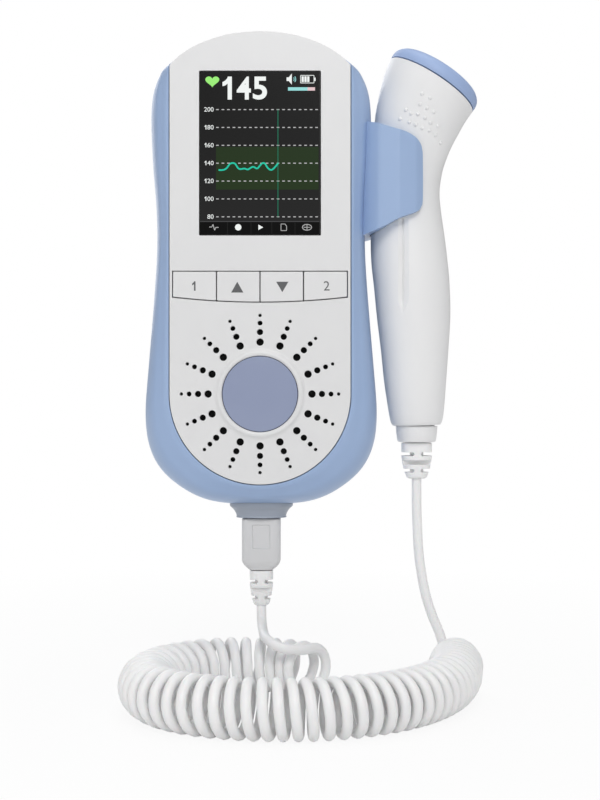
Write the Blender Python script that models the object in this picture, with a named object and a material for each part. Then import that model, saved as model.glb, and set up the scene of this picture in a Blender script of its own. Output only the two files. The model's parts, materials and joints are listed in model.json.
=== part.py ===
"""Fetal doppler monitor: a pocket unit with a screen, four keys and a speaker, and a probe on a curly cord.

The unit stands upright with +Z up and faces -Y. Its flat back lies in the plane Y = 0, and the origin is in the
middle of that back. Sizes are in metres.
"""

import math

import bmesh
import bpy
from mathutils import Matrix, Vector

# Running gap between two pieces, and how far a cutter runs past what it cuts
GAP = 0.0003
OVERRUN = 0.004

# Case: the outline seen from the front, as shares of half its width and half its height, from the top down
CASE_WIDTH = 0.0716
CASE_HEIGHT = 0.1430
CASE_DEPTH = 0.0300
CASE_WALL = 0.0024
CASE_OUTLINE_SHARES = (
    (0.000, 1.000), (0.335, 0.979), (0.631, 0.912), (0.805, 0.850), (0.883, 0.789),
    (0.931, 0.728), (0.945, 0.630), (0.930, 0.440), (0.905, 0.290), (0.896, 0.090),
    (0.938, -0.200), (0.985, -0.475), (1.000, -0.580), (0.996, -0.670), (0.972, -0.740),
    (0.925, -0.802), (0.845, -0.860), (0.720, -0.912), (0.560, -0.956), (0.380, -0.984),
    (0.190, -0.997), (0.000, -1.000),
)
CASE_SPAN_STEPS = 2
CASE_BACK_INSET = 0.0050
CASE_BACK_ROUND = 0.0085
CASE_RIM_ROUND = 0.0136
CASE_RIM_DROP = 0.0004
RIM_STEP_SHARES = (0.00, 0.30, 0.55, 0.78, 1.00)
BACK_STEP_SHARES = (0.00, 0.55, 1.00)
CAVITY_STEP_SHARES = (0.00, 0.55, 1.00)

# Front cover: a plate with straight sides and a half-round bottom, sunk into the rim
COVER_WIDTH = 0.0543
COVER_THICKNESS = 0.0024
COVER_BOTTOM_CENTRE_Z = -0.0374
COVER_SHOULDER_Z = 0.0600
COVER_EDGE_BREAK = 0.0003
COVER_LEDGE = 0.0014
COVER_LEDGE_THICKNESS = 0.0018

# Display: the active area of a 2.4 inch screen in upright 3:4 format sets the lens
LENS_WIDTH = 0.0363
LENS_HEIGHT = 0.0492
LENS_THICKNESS = 0.0010
LENS_CORNER = 0.0007
LENS_CENTRE_Z = 0.0349
LENS_LEDGE = 0.0008
PANEL_WIDTH = 0.0390
PANEL_HEIGHT = 0.0520
PANEL_THICKNESS = 0.0022
FRAME_WALL = 0.0009
FRAME_FLOOR = 0.0009

# Keys: one slot in the cover holds four caps side by side, under one silicone mat
KEY_COUNT = 4
KEY_ROW_WIDTH = 0.0522
KEY_TOP_Z = -0.0007
KEY_END_HEIGHT = 0.0075
KEY_ARC_RISE = 0.0015
KEY_ARC_STEPS = 3
KEY_PROUD = 0.0002
KEY_EDGE_BREAK = 0.0002
KEY_FLANGE = 0.0007
KEY_FLANGE_THICKNESS = 0.0008
KEY_TRAVEL = 0.0006
MAT_THICKNESS = 0.0011
MAT_MARGIN = 0.0012

# Main board, behind the display and the keys
BOARD_WIDTH = 0.0402
BOARD_THICKNESS = 0.0016
BOARD_TOP_Z = 0.0620
BOARD_BOTTOM_Z = -0.0118
BOARD_CORNER = 0.0020

# Speaker grille: rays of holes that grow towards the middle, on rings of these radii and hole diameters
RAY_COUNT = 16
RAY_RADII = (0.0236, 0.0213, 0.0186, 0.0156)
RAY_HOLES = (0.00105, 0.00150, 0.00190, 0.00225)
HOLE_SIDES = 5

# Badge: a raised ring that holds a plain disc in the middle of the grille
BADGE_RING_DIAMETER = 0.0262
BADGE_DISC_DIAMETER = 0.0226
BADGE_RING_PROUD = 0.0007
BADGE_DISC_PROUD = 0.0002
BADGE_SEAT_DEPTH = 0.0012
BADGE_STEPS = 32

# Speaker behind the grille
SPEAKER_DIAMETER = 0.0496
SPEAKER_RIM = 0.0014
SPEAKER_RIM_WIDTH = 0.0022
SPEAKER_DEPTH = 0.0060
SPEAKER_WALL = 0.0009
SPEAKER_THROAT = 0.0125
MAGNET_DIAMETER = 0.0230
MAGNET_BORE = 0.0100
MAGNET_THICKNESS = 0.0022
CONE_WALL = 0.0005
CONE_DOME = 0.0130
SCREEN_CLOTH = 0.0004
SPEAKER_STEPS = 20

# Battery bay: two AA cells side by side under a door that tilts out about its lower edge
CELL_DIAMETER = 0.0143
CELL_LENGTH = 0.0490
CELL_NUB_DIAMETER = 0.0055
CELL_NUB_LENGTH = 0.0013
CELL_STEPS = 12
CONTACT_THICKNESS = 0.0005
CONTACT_WIDTH_SHARE = 0.86
CONTACT_HEIGHT = 0.0100
BAY_BOTTOM_Z = -0.0600
BAY_WALL = 0.0034
BAY_END_WALL = 0.0024
BAY_FLOOR = 0.0012
DOOR_LEDGE = 0.0021
DOOR_THICKNESS = 0.0018
DOOR_RIB_COUNT = 5
DOOR_RIB_PITCH = 0.0022
DOOR_RIB_DEPTH = 0.0005
DOOR_RIB_WIDTH_SHARE = 0.45
DOOR_TOP_MARGIN = 0.0042

# Screws: four hold the case together from the back, two hold the probe holder from inside
POST_X = 0.0236
POST_TOP_Z = 0.0550
POST_LOW_Z = -0.0135
POST_DIAMETER = 0.0062
SCREW_DIAMETER = 0.0020
SCREW_HEAD_DIAMETER = 0.0042
SCREW_HEAD_HEIGHT = 0.0015
SCREW_SINK = 0.0030
SCREW_DRIVE_WIDTH = 0.0008
SCREW_DRIVE_DEPTH = 0.0007
SCREW_BITE = 0.0030
BOSS_DIAMETER = 0.0036
BOSS_LENGTH = 0.0056
SCREW_STEPS = 12

# Probe holder: an open clip on the side of the case, cut from the front to this outline of shares from root to tip
HOLDER_RADIUS = 0.0144
HOLDER_CENTRE_X = 0.0405
HOLDER_ROOT_X = 0.0300
HOLDER_TIP_X = 0.0492
HOLDER_TOP_Z = 0.0458
HOLDER_HEIGHT = 0.0352
HOLDER_OUTLINE_SHARES = (
    (0.00, 1.000), (0.30, 0.985), (0.58, 0.950), (0.80, 0.893), (0.93, 0.825),
    (0.99, 0.740), (1.00, 0.640), (1.00, 0.320), (0.97, 0.245), (0.89, 0.200),
    (0.60, 0.140), (0.36, 0.070), (0.00, 0.000),
)
HOLDER_STEPS = 30
HOLDER_PLAY = 0.0004
HOLDER_SCREW_SHARES = (0.30, 0.66)
HOLDER_BOSS_DIAMETER = 0.0042
HOLDER_SCREW_HEAD_DIAMETER = 0.0062
HOLDER_SCREW_BITE = 0.0026

# Probe: rings along a curved spine, each a share of the height, of the sideways sway, of the head's diameter
# for its width and its depth, and of the head's tilt
PROBE_FOOT_Z = -0.0470
PROBE_LENGTH = 0.1054
PROBE_AXIS_X = 0.0450
PROBE_SWAY = 0.0078
PROBE_HEAD_DIAMETER = 0.0302
PROBE_HEAD_TILT = math.radians(32.5)
PROBE_STATION_SHARES = (
    (0.000, 0.420, 0.520, 0.515, -0.05), (0.050, 0.400, 0.575, 0.570, -0.05),
    (0.133, 0.360, 0.640, 0.630, -0.04), (0.225, 0.340, 0.695, 0.675, -0.04),
    (0.322, 0.300, 0.755, 0.720, -0.08), (0.416, 0.220, 0.777, 0.740, -0.13),
    (0.488, 0.120, 0.780, 0.735, -0.15), (0.560, 0.050, 0.755, 0.712, -0.10),
    (0.625, 0.030, 0.705, 0.690, 0.00), (0.694, 0.045, 0.664, 0.675, 0.12),
    (0.766, 0.100, 0.708, 0.688, 0.37), (0.816, 0.170, 0.775, 0.720, 0.56),
    (0.860, 0.270, 0.840, 0.775, 0.68), (0.908, 0.470, 0.900, 0.860, 0.80),
    (0.962, 0.740, 0.962, 0.950, 0.93), (1.000, 1.000, 1.000, 1.000, 1.00),
)
PROBE_SPAN_STEPS = 2
PROBE_WALL = 0.0016
PROBE_OUTER_STEPS = 10
PROBE_INNER_STEPS = 5
PROBE_PULL = 0.0450
GROOVE_TOP_Z = 0.0160
GROOVE_LENGTH = 0.0272
GROOVE_WIDTH = 0.0031
GROOVE_DEPTH = 0.0006
GROOVE_OFFSET = 0.0024
GROOVE_POINT_SHARES = ((0.0, 1.0), (0.3, 1.0), (0.6, 1.0), (0.9, 1.0), (1.0, 0.1))

# Probe face: a soft cap over two half-round crystals, turned about the head's own axis as radius and height
CAP_PROFILE_SHARES = (
    (1.00, 0.03), (1.005, 0.25), (0.985, 0.47), (0.93, 0.66), (0.84, 0.81), (0.66, 0.92), (0.36, 0.985),
)
CAP_HEIGHT = 0.0056
CAP_STEPS = 28
CRYSTAL_DIAMETER = 0.0230
CRYSTAL_THICKNESS = 0.0010
CRYSTAL_SPLIT = 0.0012
CRYSTAL_STEPS = 14
BACKING_DIAMETER = 0.0236
BACKING_THICKNESS = 0.0040
PROBE_BOARD_BOTTOM_Z = -0.0100
PROBE_BOARD_LENGTH = 0.0420
PROBE_BOARD_WIDTH = 0.0154
PROBE_BOARD_THICKNESS = 0.0012
PROBE_BOARD_X = 0.0456

# Tail of the probe: a collar, a flexible relief and the cord
TAIL_DIAMETER = 0.0131
TAIL_HEIGHT = 0.0044
TAIL_SPIGOT_DIAMETER = 0.0112
TAIL_SPIGOT_HEIGHT = 0.0040
TAIL_EDGE_BREAK = 0.0006
PROBE_RELIEF_WIDTH = 0.0100
PROBE_RELIEF_LENGTH = 0.0116

# Plug: an overmoulded body with a metal shell that goes through the collar into the socket
COLLAR_TOP_WIDTH = 0.0196
COLLAR_TOP_DEPTH = 0.0150
COLLAR_END_WIDTH = 0.0153
COLLAR_END_DEPTH = 0.0110
COLLAR_HEIGHT = 0.0037
COLLAR_WAIST_SHARES = ((0.00, 1.00), (0.10, 0.90), (0.35, 0.45), (0.65, 0.14), (0.90, 0.02), (1.00, 0.08))
COLLAR_NECK_WIDTH = 0.0140
COLLAR_NECK_DEPTH = 0.0090
COLLAR_NECK_HEIGHT = 0.0042
PLUG_BODY_WIDTH = 0.0120
PLUG_BODY_DEPTH = 0.0082
PLUG_BODY_HEIGHT = 0.0129
PLUG_TAPER_HEIGHT = 0.0031
PLUG_TAPER_WIDTH = 0.0075
PLUG_TAPER_DEPTH = 0.0062
PLUG_PANEL_WIDTH = 0.0057
PLUG_PANEL_HEIGHT = 0.0080
PLUG_PANEL_DEPTH = 0.0003
PLUG_SHELL_WIDTH = 0.0069
PLUG_SHELL_DEPTH = 0.0030
PLUG_SHELL_LENGTH = 0.0064
PLUG_SHELL_WALL = 0.0004
PLUG_PULL = 0.0070
PLUG_RELIEF_WIDTH = 0.0073
PLUG_RELIEF_LENGTH = 0.0108
SOCKET_WIDTH = 0.0091
SOCKET_DEPTH = 0.0050
SOCKET_HEIGHT = 0.0074
SOCKET_FLOOR = 0.0008
SOCKET_SINK = 0.0006
OVAL_STEPS = 20
RELIEF_DEPTH_SHARE = 0.86
RELIEF_PROFILE_SHARES = (
    (0.00, 0.95), (0.04, 1.00), (0.41, 1.00), (0.42, 0.86), (0.49, 0.86), (0.50, 0.96), (0.90, 0.74), (1.00, 0.62),
)
RELIEF_SLOT_SHARES = (0.25, 0.72)
RELIEF_SLOT_HEIGHT_SHARE = 0.09
RELIEF_BRIDGE_SHARE = 0.44
RELIEF_STEPS = 16

# Curly cord, as the axis of its curls on the ground from the plug's end round to the probe's end
CORD_DIAMETER = 0.0028
CURL_DIAMETER = 0.0166
CURL_GAP = 0.0005
CURL_POINTS = 8
COIL_Z = -0.1208
COIL_ROUTE = (
    (0.0158, -0.0282), (0.0100, -0.0228), (0.0020, -0.0194), (-0.0080, -0.0188), (-0.0180, -0.0216),
    (-0.0266, -0.0290), (-0.0314, -0.0400), (-0.0312, -0.0520), (-0.0262, -0.0635), (-0.0170, -0.0720),
    (-0.0055, -0.0768), (0.0070, -0.0785), (0.0190, -0.0775), (0.0300, -0.0735), (0.0400, -0.0668),
    (0.0480, -0.0580), (0.0536, -0.0480), (0.0570, -0.0378), (0.0586, -0.0285), (0.0597, -0.0215),
    (0.0610, -0.0155),
)
COIL_AXIS_STEPS = 16
COIL_SMOOTHING = 24
CURL_END_RADIUS_SHARE = 0.62
CURL_END_TURNS = 0.9
LEAD_STEPS = 2
LEAD_END = 0.0014
PLUG_LEAD_ROUTE = (
    (0.0001, -0.0159, -0.1072), (0.0004, -0.0182, -0.1092), (0.0008, -0.0220, -0.1102), (0.0011, -0.0263, -0.1103),
    (0.0022, -0.0307, -0.1109), (0.0046, -0.0336, -0.1120), (0.0079, -0.0343, -0.1131),
)
PROBE_LEAD_ROUTE = (
    (0.0483, -0.0150, -0.0720), (0.0485, -0.0150, -0.0780), (0.0489, -0.0150, -0.0860), (0.0498, -0.0148, -0.0930),
    (0.0512, -0.0146, -0.1000), (0.0532, -0.0144, -0.1063), (0.0554, -0.0144, -0.1116),
)

# Places that follow from the sizes above
FRONT_Y = -CASE_DEPTH
MIDDLE_Y = FRONT_Y / 2
COVER_BACK_Y = FRONT_Y + COVER_THICKNESS
INNER_Y = COVER_BACK_Y + GAP
RIM_Y = FRONT_Y + CASE_RIM_DROP
FRAME_BACK_Y = INNER_Y + PANEL_THICKNESS + GAP + FRAME_FLOOR
BOARD_Y = FRAME_BACK_Y + GAP
BOARD_BACK_Y = BOARD_Y + BOARD_THICKNESS
CELL_Y = -(DOOR_THICKNESS + GAP + GAP + CELL_DIAMETER / 2)
BAY_FLOOR_Y = CELL_Y - CELL_DIAMETER / 2 - GAP
BAY_WIDTH = 2 * CELL_DIAMETER + 3 * GAP
BAY_HEIGHT = CELL_LENGTH + CELL_NUB_LENGTH + 2 * (CONTACT_THICKNESS + GAP) + 2 * GAP
BAY_TOP_Z = BAY_BOTTOM_Z + BAY_HEIGHT
DOOR_WIDTH = BAY_WIDTH + 2 * DOOR_LEDGE
DOOR_BOTTOM_Z = BAY_BOTTOM_Z - DOOR_LEDGE
DOOR_HEIGHT = BAY_HEIGHT + 2 * DOOR_LEDGE
CAP_RADIUS = PROBE_HEAD_DIAMETER / 2
CORD_RADIUS = CORD_DIAMETER / 2
CURL_RADIUS = (CURL_DIAMETER - CORD_DIAMETER) / 2
COLLAR_TOP_Z = -CASE_HEIGHT / 2 - GAP
COLLAR_END_Z = COLLAR_TOP_Z - COLLAR_HEIGHT
PLUG_TOP_Z = COLLAR_END_Z - GAP
PLUG_END_Z = PLUG_TOP_Z - PLUG_BODY_HEIGHT - PLUG_TAPER_HEIGHT
PLUG_RELIEF_TOP_Z = PLUG_END_Z - GAP
PLUG_RELIEF_END_Z = PLUG_RELIEF_TOP_Z - PLUG_RELIEF_LENGTH
TAIL_TOP_Z = PROBE_FOOT_Z - GAP
TAIL_END_Z = TAIL_TOP_Z - TAIL_HEIGHT
PROBE_RELIEF_TOP_Z = TAIL_END_Z - GAP
PROBE_RELIEF_END_Z = PROBE_RELIEF_TOP_Z - PROBE_RELIEF_LENGTH
TAIL_X = PROBE_AXIS_X + PROBE_SWAY * PROBE_STATION_SHARES[0][1]

# Finishes
FINISHES = {
    "white_abs": ((0.80, 0.80, 0.80), 0.38, 0.0),
    "blue_abs": ((0.31, 0.42, 0.62), 0.42, 0.0),
    "blue_elastomer": ((0.33, 0.45, 0.66), 0.55, 0.0),
    "grey_abs": ((0.26, 0.30, 0.34), 0.45, 0.0),
    "black_acrylic": ((0.01, 0.01, 0.012), 0.08, 0.0),
    "badge_film": ((0.27, 0.33, 0.50), 0.30, 0.0),
    "white_pvc": ((0.78, 0.78, 0.78), 0.45, 0.0),
    "silicone": ((0.35, 0.36, 0.38), 0.60, 0.0),
    "circuit_board": ((0.02, 0.16, 0.07), 0.45, 0.0),
    "steel": ((0.60, 0.60, 0.61), 0.30, 1.0),
    "black_cloth": ((0.015, 0.015, 0.015), 0.90, 0.0),
    "glass": ((0.06, 0.07, 0.08), 0.10, 0.0),
    "paper": ((0.09, 0.09, 0.09), 0.85, 0.0),
    "ferrite": ((0.05, 0.05, 0.055), 0.60, 0.2),
    "ceramic": ((0.62, 0.58, 0.50), 0.40, 0.0),
    "cell_sleeve": ((0.05, 0.10, 0.24), 0.35, 0.2),
}


def clear_scene():
    for obj in list(bpy.data.objects):
        bpy.data.objects.remove(obj, do_unlink=True)


def make_finishes():
    made = {}
    for name, (colour, roughness, metallic) in FINISHES.items():
        finish = bpy.data.materials.new(name)
        finish.use_nodes = True
        shader = finish.node_tree.nodes["Principled BSDF"]
        shader.inputs["Base Color"].default_value = (*colour, 1.0)
        shader.inputs["Roughness"].default_value = roughness
        shader.inputs["Metallic"].default_value = metallic
        made[name] = finish
    return made


# Mesh tools
def loft(rings, ends=True):
    """A mesh through rings of equal count. With ends it is capped, and without them its last ring meets its first."""
    mesh = bmesh.new()
    rows = [[mesh.verts.new(point) for point in ring] for ring in rings]
    pairs = list(zip(rows, rows[1:]))
    if not ends:
        pairs.append((rows[-1], rows[0]))
    for low, high in pairs:
        for i in range(len(low)):
            j = (i + 1) % len(low)
            mesh.faces.new((low[i], low[j], high[j], high[i]))
    if ends:
        mesh.faces.new(rows[0])
        mesh.faces.new(rows[-1])
    bmesh.ops.recalc_face_normals(mesh, faces=mesh.faces)
    return mesh


def turned(profile, steps, ends=True):
    """A mesh turned about Z from (radius, height) pairs. Without ends the profile is a closed loop off the axis."""
    rings = []
    for radius, height in profile:
        rings.append([
            Vector((radius * math.cos(a), radius * math.sin(a), height))
            for a in (2 * math.pi * i / steps for i in range(steps))
        ])
    return loft(rings, ends)


def prism(outline, low, high):
    """A mesh of an (x, z) outline run along Y."""
    return loft([[Vector((x, y, z)) for x, z in outline] for y in (low, high)])


def block(x_low, x_high, y_low, y_high, z_low, z_high):
    return prism([(x_low, z_low), (x_high, z_low), (x_high, z_high), (x_low, z_high)], y_low, y_high)


def add(name, mesh, finish, origin=(0, 0, 0), matrix=None, smooth=math.radians(35)):
    """A named object from a mesh. Its origin is set to the place given, and its shape stays where it is."""
    if matrix is not None:
        mesh.transform(matrix)
    mesh.transform(Matrix.Translation(-Vector(origin)))
    data = bpy.data.meshes.new(name)
    mesh.to_mesh(data)
    mesh.free()
    data.materials.append(finish)
    data.shade_smooth()
    data.set_sharp_from_angle(angle=smooth)
    made = bpy.data.objects.new(name, data)
    made.location = origin
    bpy.context.scene.collection.objects.link(made)
    return made


def helper(name, mesh, matrix=None):
    """A shape that only cuts or joins others."""
    made = add(name, mesh, FINISH["grey_abs"], matrix=matrix)
    made.hide_render = True
    made.display_type = "WIRE"
    return made


def combine(piece, other, operation="DIFFERENCE"):
    step = piece.modifiers.new(other.name, "BOOLEAN")
    step.operation = operation
    step.object = other


def carry(piece, parent):
    """Parents a piece without moving it."""
    place = piece.location.copy()
    piece.parent = parent
    piece.location = place - parent.location


def pivot(name, place):
    made = bpy.data.objects.new(name, None)
    made.location = place
    bpy.context.scene.collection.objects.link(made)
    return made


def curve_through(rows, steps):
    """Rows of numbers made denser by a smooth curve that passes through each of them."""
    found = []
    for i in range(len(rows) - 1):
        a = rows[max(i - 1, 0)]
        b = rows[i]
        c = rows[i + 1]
        d = rows[min(i + 2, len(rows) - 1)]
        for step in range(steps):
            t = step / steps
            found.append(tuple(
                0.5 * (2 * q + (r - p) * t + (2 * p - 5 * q + 4 * r - s) * t * t + (3 * q - p - 3 * r + s) * t ** 3)
                for p, q, r, s in zip(a, b, c, d)
            ))
    found.append(tuple(rows[-1]))
    return found


def rounded(width, height, corner, steps=3, centre=(0.0, 0.0)):
    """The outline of a rectangle with round corners."""
    points = []
    for k, (sx, sz) in enumerate(((1, 1), (-1, 1), (-1, -1), (1, -1))):
        cx = centre[0] + sx * (width / 2 - corner)
        cz = centre[1] + sz * (height / 2 - corner)
        for i in range(steps + 1):
            a = math.pi / 2 * (k + i / steps)
            points.append((cx + corner * math.cos(a), cz + corner * math.sin(a)))
    return points


def oval(width, depth, steps=None, power=2.6):
    """A squarish oval, as (x, y) pairs."""
    steps = steps or OVAL_STEPS
    points = []
    for i in range(steps):
        a = 2 * math.pi * i / steps
        c = math.cos(a)
        s = math.sin(a)
        reach = (abs(c) ** power + abs(s) ** power) ** (-1 / power)
        points.append((width / 2 * reach * c, depth / 2 * reach * s))
    return points


def upright(sections, centre_x, centre_y):
    """A loft of (outline, z) sections about a vertical line."""
    return loft([[Vector((centre_x + x, centre_y + y, z)) for x, y in outline] for outline, z in sections])


def offset(outline, distance):
    """An outline moved outwards by a distance, or inwards by a negative one."""
    count = len(outline)
    area = sum(
        outline[i][0] * outline[(i + 1) % count][1] - outline[(i + 1) % count][0] * outline[i][1]
        for i in range(count)
    )
    side = 1 if area > 0 else -1
    moved = []
    for i, (x, z) in enumerate(outline):
        before = Vector(outline[i - 1])
        after = Vector(outline[(i + 1) % count])
        here = Vector((x, z))
        first = (here - before).normalized()
        second = (after - here).normalized()
        normal = Vector((first.y + second.y, -first.x - second.x)).normalized()
        miter = max(normal.dot(Vector((first.y, -first.x))), 0.5)
        moved.append((x + side * normal.x * distance / miter, z + side * normal.y * distance / miter))
    return moved


# Case outlines
def case_outline(steps=CASE_SPAN_STEPS):
    half = curve_through(CASE_OUTLINE_SHARES, steps)
    right = [(x * CASE_WIDTH / 2, z * CASE_HEIGHT / 2) for x, z in half]
    left = [(-x, z) for x, z in reversed(right[1:-1])]
    return right + left


def cover_edge(x, z):
    """The point of the cover's edge that a point of the case's outline faces."""
    reach = COVER_WIDTH / 2
    if z >= COVER_BOTTOM_CENTRE_Z:
        return (max(-reach, min(reach, x)), z)
    away = Vector((x, z - COVER_BOTTOM_CENTRE_Z)).normalized()
    return (reach * away.x, COVER_BOTTOM_CENTRE_Z + reach * away.y)


def blend_outline(first, second, share):
    return [(a + (c - a) * share, b + (d - b) * share) for (a, b), (c, d) in zip(first, second)]


def case_half_width(z):
    """Half the case's width at a height, from its outline."""
    right = [point for point in case_outline() if point[0] >= 0]
    for (x0, z0), (x1, z1) in zip(right, right[1:]):
        if z1 <= z <= z0:
            return x0 + (x1 - x0) * (z0 - z) / (z0 - z1)
    return right[0][0]


def rim_outline(y, steps=CASE_SPAN_STEPS):
    """The case's outline in front of its middle, where the rim rounds over to the cover's edge."""
    outer = case_outline(steps)
    cover = [cover_edge(x, z) for x, z in outer]
    drop = max(0.0, min(1.0, (RIM_Y + CASE_RIM_ROUND - y) / CASE_RIM_ROUND))
    return blend_outline(outer, cover, 1 - math.sqrt(1 - drop * drop))


def back_rings(inset, step_shares, steps=CASE_SPAN_STEPS):
    """Sections of the rounded back edge as (outline, y), drawn in by a wall."""
    outer = case_outline(steps)
    back = offset(outer, -CASE_BACK_INSET)
    rings = []
    for share in step_shares:
        a = math.pi / 2 * share
        y = -inset - (CASE_BACK_ROUND - inset) * (1 - math.cos(a))
        outline = blend_outline(back, outer, math.sin(a))
        rings.append((offset(outline, -inset) if inset else outline, y))
    return rings


def across(sections):
    """A loft of (outline, y) sections along Y."""
    return loft([[Vector((x, y, z)) for x, z in outline] for outline, y in sections])


def circle(radius, steps, centre=(0.0, 0.0)):
    return [
        (centre[0] + radius * math.cos(a), centre[1] + radius * math.sin(a))
        for a in (2 * math.pi * i / steps for i in range(steps))
    ]


def gather(parts):
    """One mesh from several that don't touch."""
    whole = bmesh.new()
    for part in parts:
        data = bpy.data.meshes.new("part")
        part.to_mesh(data)
        part.free()
        whole.from_mesh(data)
        bpy.data.meshes.remove(data)
    return whole


# Unit
def post_places():
    return [(side * POST_X, z) for z in (POST_TOP_Z, POST_LOW_Z) for side in (-1, 1)]


def holder_screw_heights():
    return [HOLDER_TOP_Z - HOLDER_HEIGHT * (1 - share) for share in HOLDER_SCREW_SHARES]


def make_rear_shell():
    sections = back_rings(0.0, BACK_STEP_SHARES)
    for share in RIM_STEP_SHARES:
        y = RIM_Y + CASE_RIM_ROUND * (1 - math.sin(math.pi / 2 * share))
        sections.append((rim_outline(y), y))
    shell = add("rear_shell", across(sections), FINISH["blue_abs"])

    ledge_y = INNER_Y + COVER_LEDGE_THICKNESS
    middle_y = RIM_Y + CASE_RIM_ROUND
    ledge = offset(rim_outline(RIM_Y, 1), -COVER_LEDGE)
    hollow = back_rings(CASE_WALL, CAVITY_STEP_SHARES, 1)
    hollow += [(offset(rim_outline(y, 1), -CASE_WALL), y) for y in (middle_y, (middle_y + ledge_y) / 2, ledge_y)]
    cavity = helper("cavity", across([*hollow, (ledge, ledge_y), (ledge, RIM_Y - OVERRUN)]))
    bay = block(
        -BAY_WIDTH / 2 - BAY_WALL, BAY_WIDTH / 2 + BAY_WALL, BAY_FLOOR_Y - BAY_FLOOR, OVERRUN,
        BAY_BOTTOM_Z - BAY_END_WALL, BAY_TOP_Z + BAY_END_WALL,
    )
    combine(cavity, helper("bay_walls", bay))
    posts = [
        prism(circle(POST_DIAMETER / 2, SCREW_STEPS, place), COVER_BACK_Y + BOSS_LENGTH + GAP, OVERRUN)
        for place in post_places()
    ]
    combine(cavity, helper("posts", gather(posts)))
    combine(shell, cavity)

    bay_space = block(
        -BAY_WIDTH / 2, BAY_WIDTH / 2, BAY_FLOOR_Y, OVERRUN, BAY_BOTTOM_Z, BAY_TOP_Z,
    )
    combine(shell, helper("bay_space", bay_space))
    recess = block(
        -DOOR_WIDTH / 2 - GAP, DOOR_WIDTH / 2 + GAP, -DOOR_THICKNESS - GAP, OVERRUN,
        DOOR_BOTTOM_Z - GAP, DOOR_BOTTOM_Z + DOOR_HEIGHT + GAP,
    )
    combine(shell, helper("door_recess", recess))
    bores = []
    for place in post_places():
        bores.append(prism(circle(SCREW_DIAMETER / 2 + GAP, SCREW_STEPS, place), RIM_Y, -SCREW_SINK))
        bores.append(prism(
            circle(SCREW_HEAD_DIAMETER / 2 + GAP, SCREW_STEPS, place),
            -SCREW_SINK - SCREW_HEAD_HEIGHT - GAP, OVERRUN,
        ))
    for i, bore in enumerate(bores):
        combine(shell, helper(f"case_screw_bore_{i + 1}", bore))
    for i, z in enumerate(holder_screw_heights()):
        reach = case_half_width(z)
        hole = turned(
            [(HOLDER_BOSS_DIAMETER / 2 + GAP, 0.0), (HOLDER_BOSS_DIAMETER / 2 + GAP, 2 * OVERRUN)], SCREW_STEPS,
        )
        place = Matrix.Translation((reach - OVERRUN, MIDDLE_Y, z)) @ Matrix.Rotation(math.pi / 2, 4, "Y")
        combine(shell, helper(f"holder_hole_{i + 1}", hole, place))
    neck = oval(COLLAR_NECK_WIDTH + 2 * GAP, COLLAR_NECK_DEPTH + 2 * GAP)
    opening = upright([(neck, COLLAR_TOP_Z - OVERRUN), (neck, COLLAR_TOP_Z + 2 * OVERRUN)], 0.0, MIDDLE_Y)
    combine(shell, helper("collar_opening", opening))
    reach = KEY_ROW_WIDTH / 2 + GAP
    key_space = block(
        -reach, reach, INNER_Y - GAP, INNER_Y + KEY_FLANGE_THICKNESS + KEY_TRAVEL + GAP,
        KEY_TOP_Z - KEY_END_HEIGHT - KEY_ARC_RISE - KEY_FLANGE - GAP, KEY_TOP_Z + KEY_FLANGE + GAP,
    )
    combine(shell, helper("key_space", key_space))
    pocket = [(x, z + OVERRUN if z > COVER_SHOULDER_Z else z) for x, z in offset(rim_outline(RIM_Y), GAP)]
    combine(shell, helper("cover_pocket", prism(pocket, RIM_Y - OVERRUN, INNER_Y)))
    return shell


def key_outline(left, right, grow=0.0):
    """A stretch of the key row between two x places, with the row's curved lower edge, grown by a clearance."""
    half = KEY_ROW_WIDTH / 2
    top = KEY_TOP_Z + grow
    points = [(left - grow, top), (right + grow, top)]
    for i in range(KEY_ARC_STEPS + 1):
        x = right + (left - right) * i / KEY_ARC_STEPS
        z = KEY_TOP_Z - KEY_END_HEIGHT - KEY_ARC_RISE * (1 - (x / half) ** 2) - grow
        reach = grow if i == 0 else -grow if i == KEY_ARC_STEPS else 0.0
        points.append((x + reach, z))
    return points


def row_outline(grow):
    """The whole key row's outline, with a point below each division."""
    half = KEY_ROW_WIDTH / 2
    steps = KEY_COUNT * KEY_ARC_STEPS
    points = [(-half - grow, KEY_TOP_Z + grow), (half + grow, KEY_TOP_Z + grow)]
    for i in range(steps + 1):
        x = half - 2 * half * i / steps
        z = KEY_TOP_Z - KEY_END_HEIGHT - KEY_ARC_RISE * (1 - (x / half) ** 2) - grow
        points.append((x * (1 + grow / half), z))
    return points


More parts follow.
